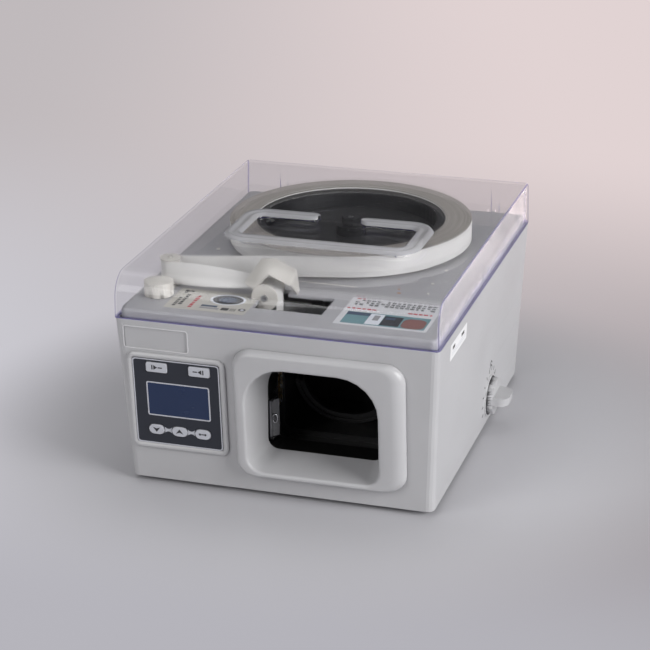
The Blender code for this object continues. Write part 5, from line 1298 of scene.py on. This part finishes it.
def knobDial():
    s = dialSpec
    plain = lambda u, v, w: Vector((u, v, w))
    values = dict(
        Count=s["count"],
        Radius=s["radius"],
        Length=s["length"],
        Stroke=s["stroke"],
        Height=0.00016,
        First=s["first"],
        Last=s["last"],
        Ink=inkAndShadowBlack,
    )
    mesh = grown("knobDial", dialTicks, values)
    shape = bmesh.new()
    shape.from_mesh(mesh)
    # two plain arrow heads at the top show the way to turn for more
    for lift in (0.0310, 0.0350):
        chevron = [
            (-0.0046, lift - 0.0030),
            (0, lift),
            (0.0046, lift - 0.0030),
            (0.0046, lift - 0.0014),
            (0, lift + 0.0017),
            (-0.0046, lift - 0.0014),
        ]
        slab(shape, plain, chevron, -0.00008, 0.00008)
    # a painted shadow line between boss and knob, in the black ink
    outer, inner = (oval(0, 0, r, r, 64) for r in s["ring"])
    hoop(shape, plain, outer, inner, s["face"] - 0.0001, s["face"] + 0.00012)
    for vert in shape.verts:
        vert.co = sideSpot(*vert.co)
    bpy.data.meshes.remove(mesh)
    dressPiece("knobDial", meshFrom("knobDial", shape), "chassis", [inkAndShadowBlack])


stickerSpec = dict(front=-0.1413, back=-0.0813, low=0.1390, high=0.1540, corner=0.0012)


def sideSticker():
    s = stickerSpec
    shape = bmesh.new()
    y0, y1 = s["front"] - knobAxis.y, s["back"] - knobAxis.y
    v0, v1 = (s["low"] - knobAxis.z) / sideUp.z, (s["high"] - knobAxis.z) / sideUp.z
    slab(shape, sideSpot, roundRect(y0, y1, v0, v1, s["corner"]), -0.00002, 0.00012, 0)
    rise, reach = v1 - v0, y1 - y0
    for share, length in ((0.2, 0.0085), (0.75, 0.0100)):
        block = bar(y0 + reach * share, v0 + rise * 0.66, length, 0.0030)
        slab(shape, sideSpot, block, 0.0001, 0.00017, 1)
    for share in (0.25, 0.4):
        line = bar((y0 + y1) / 2, v0 + rise * share, reach * 0.82, 0.0006)
        slab(shape, sideSpot, line, 0.0001, 0.00016, 2)
    paints = [stickerStock, inkAndShadowBlack, inkPale]
    dressPiece("sideSticker", meshFrom("sideSticker", shape), "chassis", paints)


knobDial()
sideSticker()
print("side: dial and sticker placed")


# screws with a cross recess, two on each hinge bracket at the back

screwSpec = dict(dome=0.42, recess=0.26, arm=0.62, width=0.17, sides=24)


def screwHead():
    s = screwSpec
    shape = bmesh.new()
    a, b = s["width"] / 2, s["arm"]
    cross = [(b, -a), (b, a), (a, a), (a, b), (-a, b), (-a, a)]
    cross += [(-x, -y) for x, y in cross]
    levels = [(1.0, 0.0), (1.0, s["dome"] * 0.45), (0.93, s["dome"] * 0.75), (0.8, s["dome"] * 0.92)]
    rings = []
    for share, z in levels:
        turns = [tau * (k + 0.5) / s["sides"] for k in range(s["sides"])]
        rings.append([shape.verts.new((share * cos(t), share * sin(t), z)) for t in turns])
    for near, far in zip(rings, rings[1:]):
        for i in range(s["sides"]):
            j = (i + 1) % s["sides"]
            shape.faces.new((near[i], near[j], far[j], far[i]))
    shape.faces.new(rings[0][::-1])
    lip = [shape.verts.new((x, y, s["dome"])) for x, y in cross]
    floor = [shape.verts.new((x * 0.8, y * 0.8, s["dome"] - s["recess"])) for x, y in cross]
    for i in range(12):
        j = (i + 1) % 12
        shape.faces.new((lip[i], lip[j], floor[j], floor[i]))
    shape.faces.new(floor)
    rim = rings[-1]
    bridge = [e for e in shape.edges if len(e.link_faces) == 1 and (e.verts[0] in rim or e.verts[0] in lip)]
    bmesh.ops.bridge_loops(shape, edges=bridge)
    return bpy.data.objects.new("screwHead", meshFrom("screwHead", shape))


backOut = Vector((0, 0.99713, -0.07573))


def screwSet(name, places, body, paint):
    mesh = bpy.data.meshes.new(name + "Points")
    mesh.from_pydata([place for place, _, _ in places], [], [])
    mesh.attributes.new("facing", "FLOAT_VECTOR", "POINT")
    mesh.attributes.new("size", "FLOAT", "POINT")
    for i, (_, out, radius) in enumerate(places):
        mesh.attributes["facing"].data[i].vector = out
        mesh.attributes["size"].data[i].value = radius
    made = grown(name, screwRows, {"Head": head, "Paint": paint}, mesh)
    dressPiece(name, made, body, smooth=35)


# the back wall leans, so a screw's place follows its height
backSpec = dict(
    foot=0.17165,
    start=0.005,
    slope=0.07595,
    plate=0.0021,
    gap=0.0002,
    height=0.1435,
    side=0.0042,
    radius=0.0024,
)
head = screwHead()
backScrews = []
for side in ("left", "right"):
    low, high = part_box("hinge_bracket_" + side)
    for x in (low.x + backSpec["side"], high.x - backSpec["side"]):
        rise = (backSpec["height"] - backSpec["start"]) * backSpec["slope"]
        y = backSpec["foot"] + rise + backSpec["plate"] + backSpec["gap"]
        backScrews.append((Vector((x, y, backSpec["height"])), backOut, backSpec["radius"]))
screwSet("backScrews", backScrews, "chassis", finishes["zinc_steel"])
print("screws:", len(backScrews), "on the back")


# inside the throat: the wire clip on the start flap, and the guide ring behind the loop

clipSpec = dict(wire=0.0006, radius=0.0042, lift=0.0021)


def flapClip():
    low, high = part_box("start_flap")
    shape = bmesh.new()
    facing = Vector((0.70711, -0.70711, 0))
    along = Vector((0.70711, 0.70711, 0))
    centre = Vector(((low.x + high.x) / 2, (low.y + high.y) / 2, 0.0605)) + facing * 0.0012
    points = []
    for k in range(25):
        turn = radians(-150 + 300 * k / 24)
        lift = facing * clipSpec["lift"] * (0.5 + 0.5 * cos(turn))
        aside = along * clipSpec["radius"] * 0.8 * cos(turn) * 0.6
        rise = Vector((0, 0, 1)) * clipSpec["radius"] * sin(turn)
        points.append(centre + aside + rise + lift)
    tube(shape, points, clipSpec["wire"])
    paints = [finishes["bright_steel"]]
    dressPiece("flapClip", meshFrom("flapClip", shape), "start_flap", paints, smooth=60)


ringSpec = dict(
    back=-0.0700,
    depth=0.0030,
    wall=0.0026,
    bands=[(0.0000, 0.0032, 0.046), (0.0062, 0.0030, 0.040)],
)


def guideRing():
    low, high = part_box("throat_liner")
    wall = ringSpec["wall"]
    shape = bmesh.new()
    x0, x1, z0, z1 = low.x + wall, high.x - wall, low.z + wall, high.z - wall
    spot = spotOn((0, ringSpec["back"], 0), (1, 0, 0), (0, 0, 1))

    def inside(inset, corner):
        return roundRect(x0 + inset, x1 - inset, z0 + inset, z1 - inset, corner, 14)

    for inset, width, corner in ringSpec["bands"]:
        outer, inner = inside(inset, corner), inside(inset + width, corner - width)
        hoop(shape, spot, outer, inner, 0, ringSpec["depth"] + inset / 4)
    # a thin web joins the two bands
    hoop(shape, spot, inside(0.0030, 0.044), inside(0.0070, 0.040), -0.0005, 0.0010)
    paints = [finishes["black_plastic"]]
    dressPiece("guideRing", meshFrom("guideRing", shape), "chassis", paints, smooth=40)


flapClip()
guideRing()
print("throat: clip and guide ring made")


# stage, light and camera


# the far floor's gradient paints light and shade: brighter middle left and back right, and a painted shadow
# of the machine in the darker middle right
floorSpec = dict(
    frontLeft=(0.47, 0.463, 0.505),
    frontRight=(0.445, 0.44, 0.48),
    middleLeft=(0.604, 0.597, 0.644),
    middleRight=(0.371, 0.347, 0.366),
    backLeft=(0.527, 0.491, 0.505),
    backRight=(0.753, 0.651, 0.651),
    base=(0.53, 0.525, 0.55),
    near=0.22,
    far=0.42,
)


def floorStage():
    s = floorSpec
    made, tree, skin = freshFinish("paleFloor")
    place = coordinates(tree)
    x, y = axisOf(tree, place, 0), axisOf(tree, place, 1)
    side = easeRange(tree, calc(tree, "MULTIPLY_ADD", y, 0.33, x), -0.55, 0.42)
    front = mixTone(tree, side, rgba(s["frontLeft"]), rgba(s["frontRight"]))
    middle = mixTone(tree, side, rgba(s["middleLeft"]), rgba(s["middleRight"]))
    back = mixTone(tree, side, rgba(s["backLeft"]), rgba(s["backRight"]))
    colour = mixTone(tree, easeRange(tree, y, -0.42, -0.12), front, middle)
    colour = mixTone(tree, easeRange(tree, y, 0.0, 1.0), colour, back)
    skin.inputs["Base Color"].default_value = rgba(s["base"])
    skin.inputs["Roughness"].default_value = 0.4
    skin.inputs["Specular IOR Level"].default_value = 0.2
    # camera, glossy and transmission rays see the far floor as this emitted painted light and shade
    glow = tree.nodes.new("ShaderNodeEmission")
    feed(tree, glow.inputs["Color"], colour)
    away = easeRange(tree, lengthOf(tree, place), s["near"], s["far"])
    path = tree.nodes.new("ShaderNodeLightPath").outputs
    seen = calc(tree, "MAXIMUM", path["Is Camera Ray"], path["Is Glossy Ray"])
    seen = calc(tree, "MAXIMUM", seen, path["Is Transmission Ray"])
    body = blendShaders(tree, calc(tree, "MULTIPLY", seen, away), skin, glow)
    tree.links.new(body.outputs[0], tree.nodes["Material Output"].inputs[0])
    shape = bmesh.new()
    bmesh.ops.create_circle(shape, cap_ends=True, segments=96, radius=9.0)
    mesh = meshFrom("floor", shape, False)
    mesh.materials.append(made)
    floor = bpy.data.objects.new("floor", mesh)
    bpy.context.scene.collection.objects.link(floor)


studioLamps = [
    dict(name="sideBox", place=(2.2, -0.8, 1.0), aim=(0, 0, 0.1), size=1.4, watts=60.0),
    dict(name="frontBox", place=(-1.5, -2.3, 1.5), aim=(0, 0, 0.1), size=1.6, watts=31.0),
    dict(name="topBox", place=(-0.3, 0.6, 2.4), aim=(0, 0.1, 0.1), size=1.8, watts=16.0),
]


def studio():
    for lamp in studioLamps:
        light = bpy.data.lights.new(lamp["name"], "AREA")
        light.shape = "SQUARE"
        light.size = lamp["size"]
        light.energy = lamp["watts"]
        made = bpy.data.objects.new(lamp["name"], light)
        made.location = lamp["place"]
        aim = Vector(lamp["aim"]) - Vector(lamp["place"])
        made.rotation_euler = aim.to_track_quat("-Z", "Y").to_euler()
        bpy.context.scene.collection.objects.link(made)
    world = bpy.data.worlds.new("studio")
    bpy.context.scene.world = world
    world.use_nodes = True
    tree = world.node_tree
    background = tree.nodes["Background"]
    height = axisOf(tree, coordinates(tree, "Generated"), 2)
    low = mixTone(tree, easeRange(tree, height, 0.0, 0.25), (0.6, 0.58, 0.59, 1), (0.12, 0.118, 0.122, 1))
    high = easeRange(tree, height, 0.5, 0.9)
    feed(tree, background.inputs["Color"], mixTone(tree, high, low, (0.32, 0.32, 0.33, 1)))
    background.inputs["Strength"].default_value = 0.6


viewSpec = dict(
    place=(0.54588, -1.81175, 0.8467),
    azimuth=17.2625,
    elevation=21.4002,
    roll=-0.4084,
    lens=117.537,
)


def photoCamera():
    s = viewSpec
    a, e, r = (radians(s[key]) for key in ("azimuth", "elevation", "roll"))
    back = Vector((sin(a) * cos(e), -cos(a) * cos(e), sin(e)))
    right = Vector((cos(a), sin(a), 0))
    up = back.cross(right)
    turnedRight = right * cos(r) + up * sin(r)
    turnedUp = up * cos(r) - right * sin(r)
    data = bpy.data.cameras.new("photoCamera")
    data.lens = s["lens"]
    data.sensor_width = 36.0
    data.clip_start, data.clip_end = 0.05, 60.0
    camera = bpy.data.objects.new("photoCamera", data)
    turn = Matrix((turnedRight, turnedUp, back)).transposed().to_4x4()
    camera.matrix_world = Matrix.Translation(s["place"]) @ turn
    bpy.context.scene.collection.objects.link(camera)
    bpy.context.scene.camera = camera


floorStage()
studio()
photoCamera()
bpy.context.scene.view_settings.view_transform = "Standard"
print("stage: floor, lamps and camera set")
